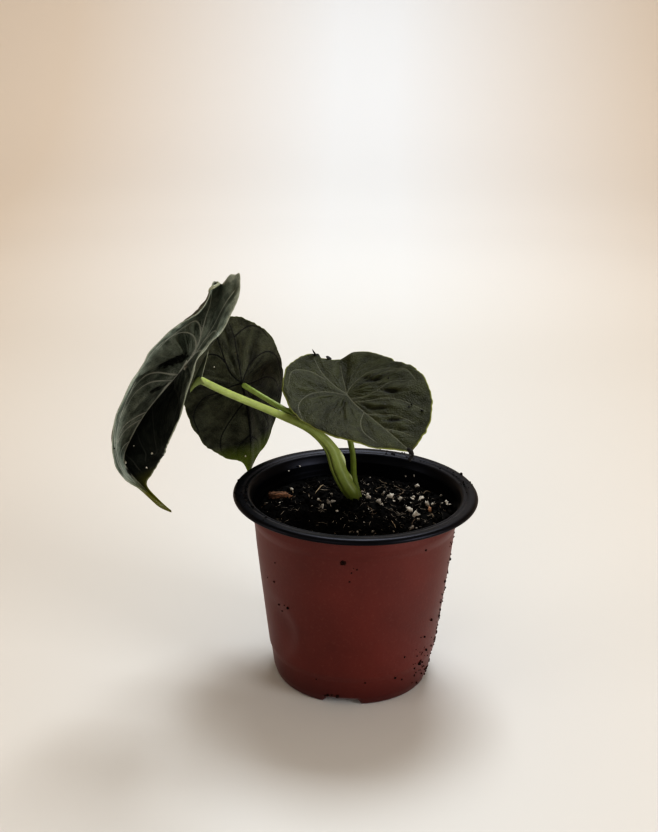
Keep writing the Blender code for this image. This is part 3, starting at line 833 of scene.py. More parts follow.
# Along a flat blade 0 is where the petiole joins, and across it the right half is the positive
# one. The spine is the bent midrib over the span along, and facing is the way the upper side
# looks. Right and then left, each half rises from the spine by fold degrees, rolls up by curl
# degrees a millimetre and ends at its margin, from the tip to the notch at the back.
# The wave has a height and a length, and the pull a place along, a reach along and across, and
# a vector. Puff, wrinkle, ripple and ruffle are heights, and grain scales the fine wrinkles.
# A dent is its place along and across, depth, length, breadth, turn in degrees and darkness,
# which is painted shade in the hollow, though the two shallow ones at the right leaf's edge
# are dark torn spots.
# Midrib and vein are half their widths. A vein lies groove deep in the upper side and stands
# ridge high on the lower one, the other way round where the number is below 0.
LEAF_LEFT = {
    "span": (-37, 82),
    "spine": (
        (-53, -6, 169), (-55, -1, 150), (-64.5, -1.5, 129), (-82, -10, 117.5),
        (-106.5, -14.5, 110), (-87, -12.5, 84.5), (-72, -24.5, 80),
    ),
    "facing": ((0.1, -0.9, 0.5), (-0.3, -0.85, 0.45), (0.25, -0.9, 0.4), (-0.2, -0.9, 0.35)),
    "fold": ((52, 50, 72, 58), (51, 65, 40, 35)),
    "curl": ((2.5, 0.4, 2.2, 2.0), (1.7, 0.7, -1.1, 0.4)),
    "margin": (
        ((82, 0), (77, 2), (66, 4), (54, 16.5), (41, 26), (23, 30), (2, 29), (-18, 26),
         (-33, 23), (-40, 10), (-35, 0)),
        ((82, 0), (75, 0.8), (67, 2.4), (61, 13.5), (42, 22), (22, 30), (0, 35), (-18, 30),
         (-31, 21), (-38, 15.5), (-41.5, 12), (-44, 9.3), (-42.2, 7), (-41.2, 4), (-38, 2), (-35, 0)),
    ),
    "wave": (0.5, 17),
    "pull": (54, 11, 7, (-3.4, 0, 0)),
    "veins": (
        (
            ((-1, 0), (-9, 1.5), (-14, 3), (-21, 4.5), (-28, 5), (-35, 7)),
            ((-13, 3), (-17, 6), (-19, 10), (-15, 15), (-9, 20), (-1, 23)),
            ((-5, 0), (-10, 4), (-12, 8), (-12, 14), (-8, 21), (-1, 26), (8, 27), (18, 26)),
            ((6, 0), (8, 5), (10, 11), (14, 18), (22, 21), (32, 18)),
            ((9, 0), (12, 6), (16, 12), (22, 16), (30, 16)),
            ((17, 23), (26, 20), (36, 16), (43, 14), (50, 12), (56, 8)),
            ((31, 21), (38, 19), (46, 17), (52, 14), (57, 10), (62, 5)),
            ((26, 0), (31, 5), (36, 10), (42, 13)),
            ((30, 0), (34, 4), (38, 8), (43, 12)),
            ((42, 0), (45, 4), (49, 7), (55, 8)),
            ((54, 0), (58, 2), (64, 3)),
        ),
        (
            ((0, 0), (-9, 2), (-18, 4), (-28, 6), (-37, 10)),
            ((-12, 3), (-18, 8), (-20, 15), (-14, 24), (-4, 29)),
            ((-4, 0), (-8, 6), (-9, 14), (-3, 24), (6, 30), (16, 29)),
            ((8, 0), (10, 8), (10, 16), (12, 23), (20, 27)),
            ((22, 0), (26, 8), (32, 15), (40, 18), (48, 15)),
            ((35, 0), (40, 6), (47, 10), (54, 9)),
            ((48, 0), (53, 4), (59, 5)),
        ),
    ),
    "dents": (
        (2.6, 7.2, 1.8, 8.6, 2.7, 45, 1),
        (15.9, 4.5, 1.0, 3.8, 1.2, 48, 0.9),
        (9.0, 3.2, -0.6, 4.0, 1.4, 45, 0),
        (58.5, 0.3, 0.6, 2.4, 1.2, 0, 0.9),
        (-39.5, 12.5, 0.5, 1.0, 0.7, 60, 0.8),
        (-37.2, 5.0, 0.5, 1.0, 0.6, 60, 0.8),
    ),
    "puff": 0.9,
    "wrinkle": 0.5,
    "grain": (0.35, 2.0, 1.0),
    "ripple": 1.0,
    "ruffle": 0.6,
    "midrib": 1.3,
    "vein": 0.42,
    "groove": -0.45,
    "ridge": 0.3,
}
LEAF_BACK = {
    "span": (-27, 50),
    "spine": (
        (-56, 21, 144), (-51, 21, 129.5), (-47, 23, 114.5), (-44, 27.5, 99.5), (-45.5, 32.5, 85),
        (-47, 39, 71),
    ),
    "facing": ((-0.45, 0.8, 0.4), (-0.45, 0.8, 0.4)),
    "fold": ((24, 24), (7, 7)),
    "curl": ((0.2, 0.2), (-0.1, -0.1)),
    "margin": (
        ((50, 0), (41, 5), (36, 11), (25, 18), (12, 23), (-2, 24), (-15, 20), (-23, 13),
         (-28, 6), (-28, 0)),
        ((50, 0), (41, 4), (37, 11), (28, 19), (14, 24), (0, 25), (-14, 21), (-24, 13),
         (-28, 6), (-28, 0)),
    ),
    "wave": (0.5, 15),
    "pull": (0, 1, 1, (0, 0, 0)),
    "veins": (
        (
            ((0, 0), (-7, 1), (-14, 2), (-20, 3), (-26, 3)),
            ((-20, 3), (-21, 8), (-21, 12), (-18, 17), (-12, 20)),
            ((0, 0), (-3, 3), (-6, 7), (-7, 12), (-6, 18), (-1, 22), (8, 22), (16, 20)),
            ((1, 0), (3, 7), (4, 13), (8, 18), (15, 20)),
            ((10, 0), (15, 5), (21, 9), (28, 11), (35, 9)),
            ((27, 0), (32, 4), (38, 5)),
        ),
        (
            ((0, 0), (-5, 3), (-11, 4), (-18, 4), (-24, 4)),
            ((-11, 4), (-15, 6), (-17, 10), (-15, 15), (-10, 19)),
            ((0, 0), (0, 5), (1, 11), (1, 16), (4, 20), (10, 23), (18, 22)),
            ((8, 0), (14, 6), (19, 10), (25, 13), (32, 13), (38, 9)),
            ((26, 0), (31, 5), (36, 6), (42, 4)),
        ),
    ),
    "dents": (),
    "puff": 1.1,
    "wrinkle": 0.3,
    "grain": (0.35, 1.7, 1.0),
    "ripple": 0.9,
    "ruffle": 0.4,
    "midrib": 0.45,
    "vein": 0.36,
    "groove": 0.2,
    "ridge": -0.15,
}
LEAF_RIGHT = {
    "span": (-25, 46),
    "spine": (
        (-7.5, 35, 128), (-9.5, 24, 119.5), (-6.5, 8.5, 115), (3.5, -2.5, 117),
        (11.5, -14.5, 112.5), (21, -23, 107),
    ),
    "facing": ((0, -0.85, 0.5), (0.2, -0.8, 0.6)),
    "fold": ((4, 15, 15), (18, -1, -1)),
    "curl": ((0, 0.1, 0.3), (0.2, -0.3, -0.2)),
    "margin": (
        ((46, 0), (44, 2), (37, 10), (24, 18), (10, 23), (-4, 25), (-16, 22), (-20.5, 17.5),
         (-22.5, 13), (-23.6, 9.8), (-22, 8), (-21.8, 3.5), (-22.6, 0)),
        ((46, 0), (44, 7), (38, 17), (28, 25), (12, 29), (-5, 27), (-19, 22), (-25, 15.8),
         (-27, 10.8), (-26.8, 5), (-24.6, 2.4), (-22.6, 0)),
    ),
    "wave": (0.4, 14),
    "pull": (0, 1, 1, (0, 0, 0)),
    "veins": (
        (
            ((0, 0), (-8, 4), (-15, 8), (-21, 11)),
            ((-11, 7), (-14, 11), (-15, 16), (-14, 20), (-9, 22)),
            ((1, 0), (-3, 6), (-4, 11), (-3, 16), (1, 21), (8, 23)),
            ((16, 0), (21, 5), (27, 8), (34, 8)),
        ),
        (
            ((0, 0), (-6, 1), (-13, 1), (-19, 0.5)),
            ((0, 0), (-4, 4), (-8, 9), (-10, 14), (-7, 20), (0, 24), (9, 26), (18, 25)),
            ((4, 0), (8, 5), (9, 11), (9, 17), (14, 22)),
            ((7, 0), (12, 5), (16, 10), (23, 14), (29, 16), (34, 17)),
            ((18, 0), (23, 4), (29, 8), (36, 10)),
            ((30, 0), (35, 3), (40, 5)),
        ),
    ),
    "dents": (
        (-5.5, -9.5, 0.5, 2.6, 1.2, -40, 0.4),
        (0.5, -12.3, 1.2, 4.2, 1.6, -40, 0.75),
        (14.6, -14.0, 1.3, 4.0, 1.2, -30, 0.8),
        (19.5, -5.2, 0.9, 3.4, 0.8, -40, 0.55),
        (24.0, -4.2, 0.4, 2.4, 0.6, -40, 0.25),
        (29.0, -5.2, 1.4, 4.0, 1.2, -47, 0.85),
        (31.5, -7.4, -0.4, 3.0, 1.0, -47, 0),
        (35.5, -4.4, 0.5, 2.4, 0.6, -40, 0.4),
        (6.2, 3.8, 0.3, 2.6, 0.8, 20, 0.3),
        (-23.0, 10.9, 0.1, 1.9, 1.0, 90, 1),
        (-22.3, 5.0, 0.1, 1.3, 0.6, 90, 1),
    ),
    "puff": 0.7,
    "wrinkle": 0.4,
    "grain": (0.5, 1.7, 1.0),
    "ripple": 1.0,
    "ruffle": 0.3,
    "midrib": 0.4,
    "vein": 0.26,
    "groove": 0.2,
    "ridge": 0.3,
}


def blend(values, at):
    """Bezier blend of the values, at 0 for the first and 1 for the last."""
    last = len(values) - 1
    weights = [math.comb(last, i) * at**i * (1 - at) ** (last - i) for i in range(last + 1)]
    return np.stack(weights, axis=-1) @ np.asarray(values, float)


def blade_surface(leaf, along, across):
    """Bent blade: out from the spine along an arc that starts at the fold.

    The pull moves a spot near the midrib by its vector * e to the minus (length share squared
    + breadth share squared).
    """
    start, end = leaf["span"]
    at = (along - start) / (end - start)
    forward = unit(blend(np.diff(leaf["spine"], axis=0), at))
    up = blend(leaf["facing"], at)
    up = unit(up - np.sum(up * forward, axis=-1, keepdims=True) * forward)
    half = np.sign(across)
    fold, curl = (
        np.radians(np.where(half > 0, blend(leaf[key][0], at), blend(leaf[key][1], at)))
        for key in ("fold", "curl")
    )
    out = np.abs(across)
    chord = out * np.sinc(curl * out / math.tau)
    tilt = fold + curl * out / 2
    height, length = leaf["wave"]
    widest = max(point[1] for side in leaf["margin"] for point in side)
    wave = height * (out / widest) ** 2 * np.sin(math.tau * along / length + half)
    sideways = (half * chord * np.cos(tilt))[..., None] * np.cross(forward, up)
    risen = (chord * np.sin(tilt) + wave)[..., None] * up
    middle, long, wide, pull = leaf["pull"]
    moved = np.exp(-(((along - middle) / long) ** 2) - (across / wide) ** 2)[..., None] * pull
    return blend(leaf["spine"], at) + sideways + risen + moved


def vein_fields(leaf, along, across):
    """Distance to the nearest vein, positive to its left, and that vein's width.

    A vein narrows from its foot to its end. Distance is measured square to the vein, or to
    its end point for a spot beyond it.
    """
    off = np.full(along.shape, 99.0)
    width = np.zeros(along.shape)
    tip = leaf["span"][1]
    lines = [(((0, 0), (tip / 2, 0), (tip, 0)), 1, leaf["midrib"])]
    for half, veins in zip((1, -1), leaf["veins"]):
        lines += [(vein, half, leaf["vein"]) for vein in veins]
    for line, half, wide in lines:
        t = np.linspace(0, 1, 100)
        x, y = (through(line, t) * (1, half)).T
        gap = np.hypot(along[..., None] - x, across[..., None] - y)
        spot = gap.argmin(axis=-1)
        dx, dy = np.gradient(x)[spot], np.gradient(y)[spot]
        square = (dx * (across - y[spot]) - dy * (along - x[spot])) / np.hypot(dx, dy)
        inside = (spot > 0) & (spot < len(t) - 1)
        away = np.where(inside, square, np.where(square < 0, -1, 1) * gap.min(axis=-1))
        closer = np.abs(away) < np.abs(off)
        off = np.where(closer, away, off)
        width = np.where(closer, wide * (1 - 0.4 * t[spot]), width)
    return off, width


def dent_fields(leaf, along, across):
    """How deep the blade is pressed in at each spot, and how dark the painted shade is there.

    Each dent is depth * e to the minus (length share squared + breadth share squared).
    """
    deep, dark = 0 * along, 0 * along
    for x, y, depth, long, short, turn, shadow in leaf["dents"]:
        cos, sin = math.cos(math.radians(turn)), math.sin(math.radians(turn))
        forward, aside = along - x, across - y
        share = (forward * cos + aside * sin) / long, (aside * cos - forward * sin) / short
        bell = np.exp(-(share[0] ** 2) - share[1] ** 2)
        # Noise gives the painted shade a ragged edge.
        torn = 1 + 0.5 * noise(on_plane(along, across) + 20, 0.9, 91)
        deep += depth * bell
        dark = np.maximum(dark, shadow * np.clip(4 * bell * torn - 1.2, 0, 1))
    return deep, dark


def blade_mesh(name, leaf, skins, seed):
    """Rings out from the petiole over the upper side, round the margin, and back below.

    Along its normal the surface swells by puff * (1 - e to the minus (distance / 4) squared),
    the distance being to the nearest vein. It also carries fine wrinkles fanned out from the
    petiole, a ruffled margin, the dents, and the veins as grooves or ridges.
    """
    steps = np.linspace(0, 1, HALF_COLUMNS)
    right = through(leaf["margin"][0], steps)[:-1]
    left = through(leaf["margin"][1], steps)[:0:-1] * (1, -1)
    edge = np.concatenate([right, left])
    run = on_plane(*edge.T) + 70
    ripple = 0.55 * noise(run, 4.2, seed) + 0.3 * noise(run, 1.7, seed + 1)
    reach = np.hypot(*edge.T)
    stretch = leaf["ripple"] * ripple * np.abs(edge[:, 1]).clip(0, 6) / 6 / reach
    edge = edge * (1 + stretch)[:, None]
    nudge = np.where(np.arange(len(edge)) < len(right), 1e-6, -1e-6)
    share = (np.arange(1, BLADE_ROWS + 1) / BLADE_ROWS)[:, None] ** 0.85
    along, across = share * edge[:, 0], share * edge[:, 1] + nudge
    middle = blade_surface(leaf, along, across)
    aside = np.roll(middle, -1, axis=1) - np.roll(middle, 1, axis=1)
    normal = unit(np.cross(aside, np.gradient(middle, axis=0)))
    off, width = vein_fields(leaf, along, across)
    deep, dark = dent_fields(leaf, along, across)
    inside = (1 - share) * reach
    near_edge = np.clip(inside / 3, 0, 1) ** 0.5
    puff = leaf["puff"] * (1 - near(off, 0, 4)) * near_edge
    away = np.hypot(along, across)
    fan = on_plane(away, 16 * np.arctan2(across, along)) * leaf["grain"]
    folds = noise(fan, 4.0, seed + 2) + 0.45 * noise(fan, 1.8, seed + 3)
    folds *= np.clip(away / 7, 0, 1) ** 2
    puff += leaf["wrinkle"] * folds * near_edge * (1 - near(off, 0, 1.5)) - deep
    ruffle = noise(on_plane(along, across) + 40, 7.0, seed + 4)
    puff += leaf["ruffle"] * ruffle * (1 - near_edge)
    vein = near(off, 0, 0.6) * width / leaf["midrib"]
    half_thick = BLADE / 2 * np.clip(0.45 + inside / 2.5, 0, 1)
    upper = middle + (puff + half_thick - leaf["groove"] * vein)[..., None] * normal
    lower = middle + (puff - half_thick - leaf["ridge"] * vein)[..., None] * normal
    beyond = (upper[-1:] + lower[-1:]) / 2 + 0.15 * unit(middle[-1:] - middle[-2:-1])
    rings = np.concatenate([upper, beyond, lower[::-1]])
    below = (np.arange(len(rings)) > BLADE_ROWS)[:, None]
    shaded = (edge[:, 1] < 0) & (edge[:, 0] > 0) & (len(skins) > 2)
    fields = {
        "off": off,
        "gap": np.abs(off),
        "width": width,
        "edge": inside,
        "along": along,
        "across": across,
        "dark": dark,
        "folds": folds,
    }
    fields = {key: np.concatenate([rows, rows[-1:], rows[::-1]]) for key, rows in fields.items()}
    return ring_mesh(name, rings, skins, np.where(below, 1, 2 * shaded), **fields)


def blade_skin(
    name, deep, pale, vein, edge, tip, tip_from, tip_to, vein_strength, painted_shade_tone=None, **values
):
    """Leathery waxed leaf: dark flesh clouded with a paler tone, with painted highlight on the
    crests of its folds and painted shade in their troughs, a fine pebbled grain and a low gloss
    that shows the quilting. Over it lie, each in its own tone, the thin veins, painted shade on
    the left half's lower part, the thin margin, painted shade in the pressed hollows and dark
    torn spots, and the tip that has turned.
    """
    made, tree, shader = new_material(name, ior=1.45, **values)
    off, gap, width, inside, along, across, dark, folds = (
        node(tree, "Attribute", {}, attribute_name=field).outputs["Fac"]
        for field in ("off", "gap", "width", "edge", "along", "across", "dark", "folds")
    )
    flat = node(tree, "CombineXYZ", {0: along, 1: across})
    cloud = node(
        tree, "TexNoise", {"Vector": flat, "Scale": 0.16, "Detail": 6.0, "Roughness": 0.65}
    )
    # The cloud is the leaf's own tone; the folds add painted highlight on wrinkle crests and painted
    # shade in their troughs.
    clouded_and_fold_lit = node(tree, "Math", {0: folds, 1: 0.16, 2: cloud}, operation="MULTIPLY_ADD")
    tone = node(tree, "ValToRGB", {"Fac": clouded_and_fold_lit}, {0.35: deep, 0.68: pale})
    pebble = node(tree, "TexVoronoi", {"Vector": flat, "Scale": 1.7})
    fleck = node(tree, "MapRange", {"Value": pebble, 1: 0.0, 2: 0.7, 3: 1.15, 4: 0.8})
    whole = node(
        tree, "Mix", {0: 1.0, 6: tone, 7: fleck}, data_type="RGBA", blend_type="MULTIPLY"
    )
    off = node(tree, "Math", {0: off}, operation="ABSOLUTE")
    share = node(tree, "Math", {0: off, 1: width}, operation="DIVIDE")
    line = node(tree, "MapRange", {"Value": share, 1: 0.75, 2: 1.1, 3: vein_strength, 4: 0.0})
    close = node(tree, "MapRange", {"Value": gap, 1: 1.2, 2: 1.6, 3: 1.0, 4: 0.0})
    layers = [(node(tree, "Math", {0: line, 1: close}, operation="MULTIPLY"), vein)]
    # Painted shade: the left half's lower part is mixed towards the shade tone.
    if painted_shade_tone:
        left = node(tree, "MapRange", {"Value": across, 1: -1.0, 2: -0.4, 3: 1.0, 4: 0.0})
        low = node(tree, "MapRange", {"Value": along, 1: -8.0, 2: 10.0, 4: 0.93})
        layers.append((node(tree, "Math", {0: left, 1: low}, operation="MULTIPLY"), painted_shade_tone))
    layers += [
        (node(tree, "MapRange", {"Value": inside, 1: 0.12, 2: 0.45, 3: 0.8, 4: 0.0}), edge),
        # painted shade in the pressed hollows, by the dark field
        (node(tree, "MapRange", {"Value": dark, 4: 0.95}), "#050604"),
        (node(tree, "MapRange", {"Value": along, 1: tip_from, 2: tip_to}), tip),
    ]
    for cover, colour in layers:
        whole = node(tree, "Mix", {0: cover, 6: whole, 7: colour}, data_type="RGBA")
    fine = node(tree, "TexNoise", {"Vector": flat, "Scale": 2.6, "Detail": 3.0})
    height = node(tree, "Math", {0: pebble, 1: fine}, operation="ADD")
    bump = node(tree, "Bump", {"Height": height, "Strength": 0.55, "Distance": 0.0004})
    connect(shader, {"Base Color": whole, "Normal": bump})
    return made


# The upper tones are pale partly for the leaf's own silvery grey and partly as painted sheen; the last
# tone is painted shade on the left half's lower part.
left_tones = ("#666f65", "#a8b1a5", "#d6d9cf", "#92988a", "#4f4f0c", 60, 70, 0.9, "#080a06")
left_skins = (
    blade_skin("leaf_blue_grey_upper", *left_tones, roughness=0.32, specular_ior_level=0.5),
    blade_skin(
        "leaf_blue_grey_lower", "#24271a", "#3c3f30", "#12140c", "#9ea394", "#4b4a12", 60, 72, 0.8,
        roughness=0.45, specular_ior_level=0.3,
    ),
    blade_skin("leaf_blue_grey_shaded", *left_tones, roughness=0.5, specular_ior_level=0.1),
)
back_skins = (
    blade_skin(
        "leaf_dark_upper", "#1c211b", "#2a3028", "#5c6258", "#4a5030", "#5f6f14", 34, 50, 0.7,
        roughness=0.4, specular_ior_level=0.3,
    ),
    blade_skin(
        "leaf_dark_lower", "#1e2014", "#4a4d3d", "#000000", "#454b24", "#5f7000", 30, 45, 0.95,
        roughness=0.32, specular_ior_level=0.18,
    ),
)
right_skins = (
    blade_skin(
        "leaf_olive_upper", "#282b17", "#3e422a", "#6e7061", "#808648", "#2a150c", 44.5, 46, 0.5,
        roughness=0.5, specular_ior_level=0.22,
    ),
    blade_skin(
        "leaf_olive_lower", "#2c3220", "#3a422b", "#171a0f", "#7f8750", "#2a150c", 44.5, 46, 0.7,
        roughness=0.5, specular_ior_level=0.3,
    ),
)
piece(blade_mesh("leaf_left_skin", LEAF_LEFT, left_skins, 61), "leaf_grey_green", "leaf_left")
piece(blade_mesh("leaf_back_skin", LEAF_BACK, back_skins, 71), "leaf_dark_green", "leaf_back")
piece(blade_mesh("leaf_right_skin", LEAF_RIGHT, right_skins, 81), "leaf_olive_green", "leaf_right")


# Leaf details
# Where the left petiole joins, it flares, and the back of the blade stands out as a thin web
# between a rib and the margin. A lobe's edge is rolled forward, the right leaf's tip has
# withered and hangs, and pale crumbs and dark scars lie on the blades.
WEB_RIB = (
    (-52.6, -2.5, 151.6), (-55.9, -2.5, 146.8), (-58.6, -2.5, 142.6), (-59.3, -2.5, 138.5),
    (-60.2, -5.5, 134.6), (-61.2, -6.8, 130.4),
)
WEB_INNER = (
    (-54.4, -2.5, 150.3), (-57.8, -2.5, 145.7), (-60.4, -2.5, 141.1), (-63.8, -2.5, 135.7),
    (-64.6, -5.5, 131.6), (-64.8, -6.8, 126.6),
)
WEB_THICKNESS = 1.2
FLARE_RIB = (
    (-60.3, -7.4, 127.4), (-62.1, -7.4, 127.1), (-63.7, -7.4, 126.2), (-66.0, -7.4, 123.7),
)
FLARE_INNER = (
    (-62.3, -7.4, 130.4), (-63.3, -7.4, 129.9), (-64.3, -7.4, 128.9), (-65.9, -7.4, 126.4),
)
ROLLED_EDGE = (
    (-56.9, -17.0, 167.0, 0.35), (-56.2, -18.5, 168.4, 0.5), (-55.0, -19.0, 169.2, 0.6),
    (-54.1, -16.5, 169.3, 0.6), (-53.7, -13.0, 169.2, 0.5), (-54.5, -12.0, 169.7, 0.35),
)
WEB_STUB = ((-63.4, -3.2, 135.4, 0.5), (-64.3, -3.4, 136.1, 0.55), (-65.2, -3.6, 136.8, 0.5))
WITHERED_TIP = (
    (19.6, -22.0, 107.9, 0.6), (21.0, -23.2, 107.0, 0.9), (21.6, -24.0, 105.9, 0.5),
    (20.6, -24.2, 104.8, 0.7), (20.9, -24.4, 103.6, 0.3),
)
# Leaf, place along and across it, size, and 1 for the upper side or -1 for the lower
CRUMBS_ON_LEAVES = (
    (LEAF_LEFT, 1.5, -5.5, 2.0, 1),
    (LEAF_LEFT, 53.2, 0.3, 1.8, 1),
    (LEAF_LEFT, 46.0, -14.2, 0.9, 1),
    (LEAF_LEFT, 59.0, -8.5, 0.9, 1),
    (LEAF_LEFT, 44.0, -4.2, 0.7, 1),
    (LEAF_BACK, -11.2, -9.0, 0.5, -1),
    (LEAF_BACK, 37.2, -2.5, 0.7, -1),
)
# The same for scars, with their second size
SCARS_ON_LEAVES = (
    (LEAF_RIGHT, 6.0, -17.8, 1.0, 1, 1.0),
    (LEAF_RIGHT, 28.2, -13.8, 0.8, 1, 0.8),
    (LEAF_RIGHT, 33.5, -16.3, 1.0, 1, 1.0),
    (LEAF_RIGHT, 27.8, -15.5, 0.6, 1, 0.6),
    (LEAF_RIGHT, -23.2, 11.4, 4.2, 1, 1.9),
    (LEAF_RIGHT, -22.0, 5.2, 2.8, 1, 1.4),
    (LEAF_LEFT, 44.0, 23.4, 0.7, 1, 0.7),
    (LEAF_BACK, 12.0, 10.0, 0.7, -1, 0.7),
    (LEAF_BACK, 15.0, 12.5, 0.6, -1, 0.6),
)


def web_mesh(name, rib, inner, skin):
    """A thin ellipse swept between the two lines: from their middle, cos(angle) times half
    the way to the rib, and sin(angle) times half the thickness in depth.
    """
    t = np.linspace(0, 1, 60)
    rib, inner = through(rib, t)[:, None], through(inner, t)[:, None]
    angle = all_round(48)[:, None]
    middle, half = (rib + inner) / 2, (rib - inner) / 2
    rings = middle + np.cos(angle) * half + np.sin(angle) * (0, WEB_THICKNESS / 2, 0)
    edge = np.abs(np.cos(angle[:, 0])) + 0 * t[:, None]
    return ring_mesh(name, rings, [skin], edge=edge)


def web_skin():
    """The blade's back near the petiole: olive grey flesh with pale ribs along both edges."""
    made, tree, shader = new_material("leaf_web_flesh", roughness=0.5, ior=1.45)
    edge = node(tree, "Attribute", {}, attribute_name="edge").outputs["Fac"]
    share = node(tree, "MapRange", {"Value": edge, 1: 0.8, 2: 0.97})
    tone = node(tree, "Mix", {0: share, 6: "#43493a", 7: "#8b8e79"}, data_type="RGBA")
    connect(shader, {"Base Color": tone})
    return made


def crumpled(run, angle):
    """A dry lumpy surface: 1 + 0.5 noise along the run and round the strand."""
    spot = np.stack(np.broadcast_arrays(run, np.cos(angle), np.sin(angle)), axis=-1)
    return 1 + 0.5 * noise(spot + 30, 0.8, 92)


def on_blade(leaf, along, across, lift):
    """The point lifted off the bent blade, along its upper side's direction."""
    steps = np.array([(0, 0), (0.2, 0), (0, 0.2)]) + (along, across)
    here, ahead, aside = blade_surface(leaf, *steps.T)
    up = np.cross(aside - here, ahead - here)
    return here + lift * up / np.linalg.norm(up)


def scars_on_leaves():
    """Small dark dead spots, flat on the blades, and two torn bits at the right one's edge."""
    dead = new_material("dead_leaf_spot", roughness=0.7, base_color="#080604")[0]
    middles = [on_blade(leaf, x, y, side * 0.55) for leaf, x, y, _, side, _ in SCARS_ON_LEAVES]
    sizes = [(wide, long, 0.7) for _, _, _, wide, _, long in SCARS_ON_LEAVES]
    return grain_mesh("scars_on_leaves", dead, middles, sizes, 94, 0.8, 3)


def crumbs_on_leaves():
    """Pale crumbs of perlite and grit on the blades."""
    skin = perlite_skin("leaf_grit", "#8f8d80", "#dedbd0")
    middles = [
        on_blade(leaf, x, y, side * (0.5 + 0.35 * size)) for leaf, x, y, size, side in CRUMBS_ON_LEAVES
    ]
    sizes = [(size, 0.8 * size, 0.8 * size) for _, _, _, size, _ in CRUMBS_ON_LEAVES]
    return grain_mesh("crumbs_on_leaves", skin, middles, sizes, 93, 0.9, 3)


pale_rib = new_material("pale_leaf_rib", roughness=0.45, base_color="#8f937e")[0]
flare_skin = new_material("pale_petiole_flare", roughness=0.42, base_color="#747f4a")[0]
withered = new_material("withered_leaf", roughness=0.8, base_color="#0c0805")[0]
piece(web_mesh("leaf_web", WEB_RIB, WEB_INNER, web_skin()), "leaf_grey_green")
piece(web_mesh("petiole_flare", FLARE_RIB, FLARE_INNER, flare_skin), "petiole_green")
for name, line, swell, stations, skin, slot in (
    ("web_stub", WEB_STUB, ridged, 20, pale_rib, "leaf_grey_green"),
    ("rolled_edge", ROLLED_EDGE, ridged, 60, pale_rib, "leaf_grey_green"),
    ("withered_tip", WITHERED_TIP, crumpled, 60, withered, "leaf_olive_green"),
):
    piece(ring_mesh(name, stalk_rings(line, swell, stations)[0], [skin]), slot)
piece(crumbs_on_leaves(), "leaf_grey_green")
piece(scars_on_leaves(), "leaf_olive_green")


# Stage
# A wide shallow bowl of warm white paper: flat under the pot, and rising far behind it all
# round, so that it has no edge in the picture.
# Radius and height of the bowl
BOWL = ((20, 0), (1000, 0), (1350, 80), (1600, 350), (1750, 900), (1800, 1500))
BOWL_COLUMNS = 96


def bowl_mesh():
    """The bowl's profile turned about the z axis, with a middle point to close the floor."""
    profile = through(BOWL, np.linspace(0, 1, 60))
    rings = spun(profile[:, :1], all_round(BOWL_COLUMNS), profile[:, 1:].clip(0))
    points = np.concatenate([[(0.0, 0.0, 0.0)], rings.reshape(-1, 3)])
    low = 1 + np.arange((len(profile) - 1) * BOWL_COLUMNS).reshape(-1, BOWL_COLUMNS)
    ahead = np.roll(low, -1, 1)
    quads = np.stack([low, low + BOWL_COLUMNS, ahead + BOWL_COLUMNS, ahead], -1).reshape(-1, 4)
    middle = np.stack([0 * low[0], low[0], ahead[0]], -1)
    return new_mesh("paper_bowl", points, quads.tolist() + middle.tolist(), [white_paper()])


def white_paper():
    """Matt warm white paper with painted light: whiter down the middle, and darker and warmer towards
    both sides.
    """
    made, tree, shader = new_material("warm_white_paper", roughness=0.9)
    place = node(tree, "TexCoord", {}).outputs["Object"]
    sideways = node(tree, "SeparateXYZ", {0: place}).outputs["X"]
    aside = node(tree, "Math", {0: sideways}, operation="ABSOLUTE")
    # Painted light: a pool down the middle of the backdrop, falling off towards both sides.
    share = node(tree, "MapRange", {"Value": aside, 1: 0.04, 2: 0.42})
    tone = node(tree, "Mix", {0: share, 6: "#cecfce", 7: "#c5b8a8"}, data_type="RGBA")
    connect(shader, {"Base Color": tone})
    return made


floor = bpy.data.objects.new("paper_bowl", bowl_mesh())
bpy.context.scene.collection.objects.link(floor)


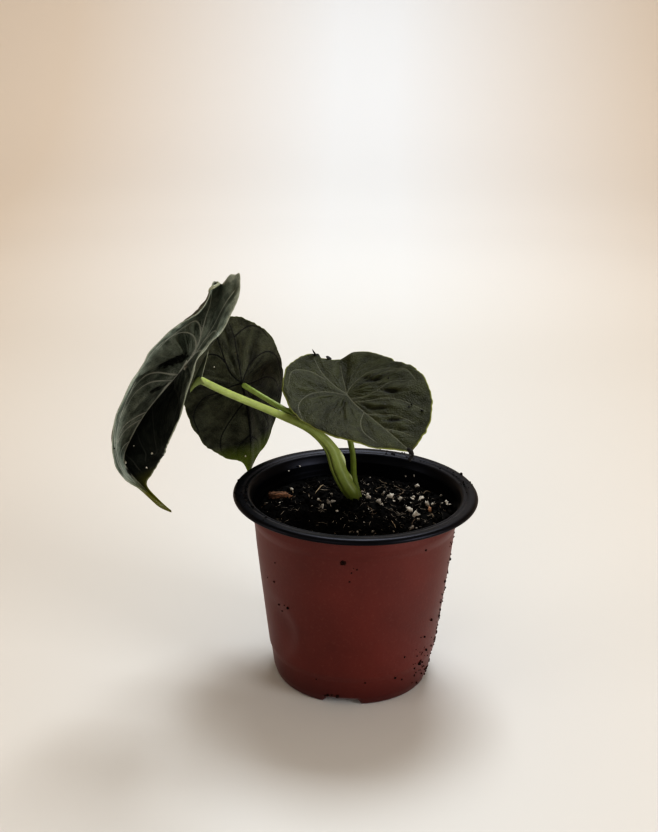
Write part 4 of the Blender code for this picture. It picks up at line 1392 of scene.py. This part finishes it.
# Light
# A soft lamp overhead and behind, weaker ones low at the right, in front and at the left, a
# narrow cool wash on the paper behind, and a warm room all round.
# Place in metres, what it points at, width, height, power, spread in degrees and colour
LAMPS = (
    ("overhead_lamp", (0.08, 0.6, 1.2), (0.0, 0.0, 0.08), 0.55, 0.5, 10.6, 180, "#f6fbff"),
    ("side_lamp", (0.8, -0.5, 0.25), (0.0, 0.0, 0.1), 0.4, 0.4, 5.0, 180, "#fbfdff"),
    ("front_lamp", (-0.35, -0.95, 0.3), (0.0, 0.0, 0.1), 0.4, 0.4, 1.5, 180, "#fffdfb"),
    ("left_lamp", (-0.9, -0.3, 0.2), (0.0, 0.0, 0.08), 0.4, 0.4, 1.4, 180, "#fffdfb"),
    ("wall_wash", (0.0, 0.6, 1.1), (0.0, 1.5, 0.15), 0.2, 0.2, 2.1, 100, "#e6f0ff"),
)


def add_lamp(name, place, target, width, height, power, spread, colour):
    """A rectangular lamp in the given place, turned to face its target."""
    lamp = bpy.data.lights.new(name, "AREA")
    lamp.shape = "RECTANGLE"
    lamp.size = width
    lamp.size_y = height
    lamp.energy = power
    lamp.spread = math.radians(spread)
    lamp.color = srgb(colour)[:3]
    made = bpy.data.objects.new(name, lamp)
    facing = (Vector(place) - Vector(target)).to_track_quat("Z", "Y").to_matrix().to_4x4()
    made.matrix_world = Matrix.Translation(place) @ facing
    made.visible_camera = False
    bpy.context.scene.collection.objects.link(made)


for lamp_values in LAMPS:
    add_lamp(*lamp_values)
room = bpy.data.worlds.new("warm_room")
room.use_nodes = True
connect(room.node_tree.nodes["Background"], {"Color": "#ffe9ce", "Strength": 0.38})
bpy.context.scene.world = room
bpy.context.scene.view_settings.view_transform = "Standard"
bpy.context.scene.view_settings.look = "High Contrast"


# Camera
# Half a metre in front of the pot and a little above the leaves, looking down nineteen degrees.
CAMERA_AT = (0.0001, -0.4919, 0.2841)
CAMERA_PITCH = 0.3349
CAMERA_YAW = -0.0234
CAMERA_ROLL = 0.0185
camera = bpy.data.cameras.new("camera")
camera.lens = 56.25
camera.sensor_width = 36.0
camera_object = bpy.data.objects.new("camera", camera)
camera_object.matrix_world = (
    Matrix.Translation(CAMERA_AT)
    @ Matrix.Rotation(-CAMERA_YAW, 4, "Z")
    @ Matrix.Rotation(math.pi / 2 - CAMERA_PITCH, 4, "X")
    @ Matrix.Rotation(CAMERA_ROLL, 4, "Z")
)
bpy.context.scene.collection.objects.link(camera_object)
bpy.context.scene.camera = camera_object
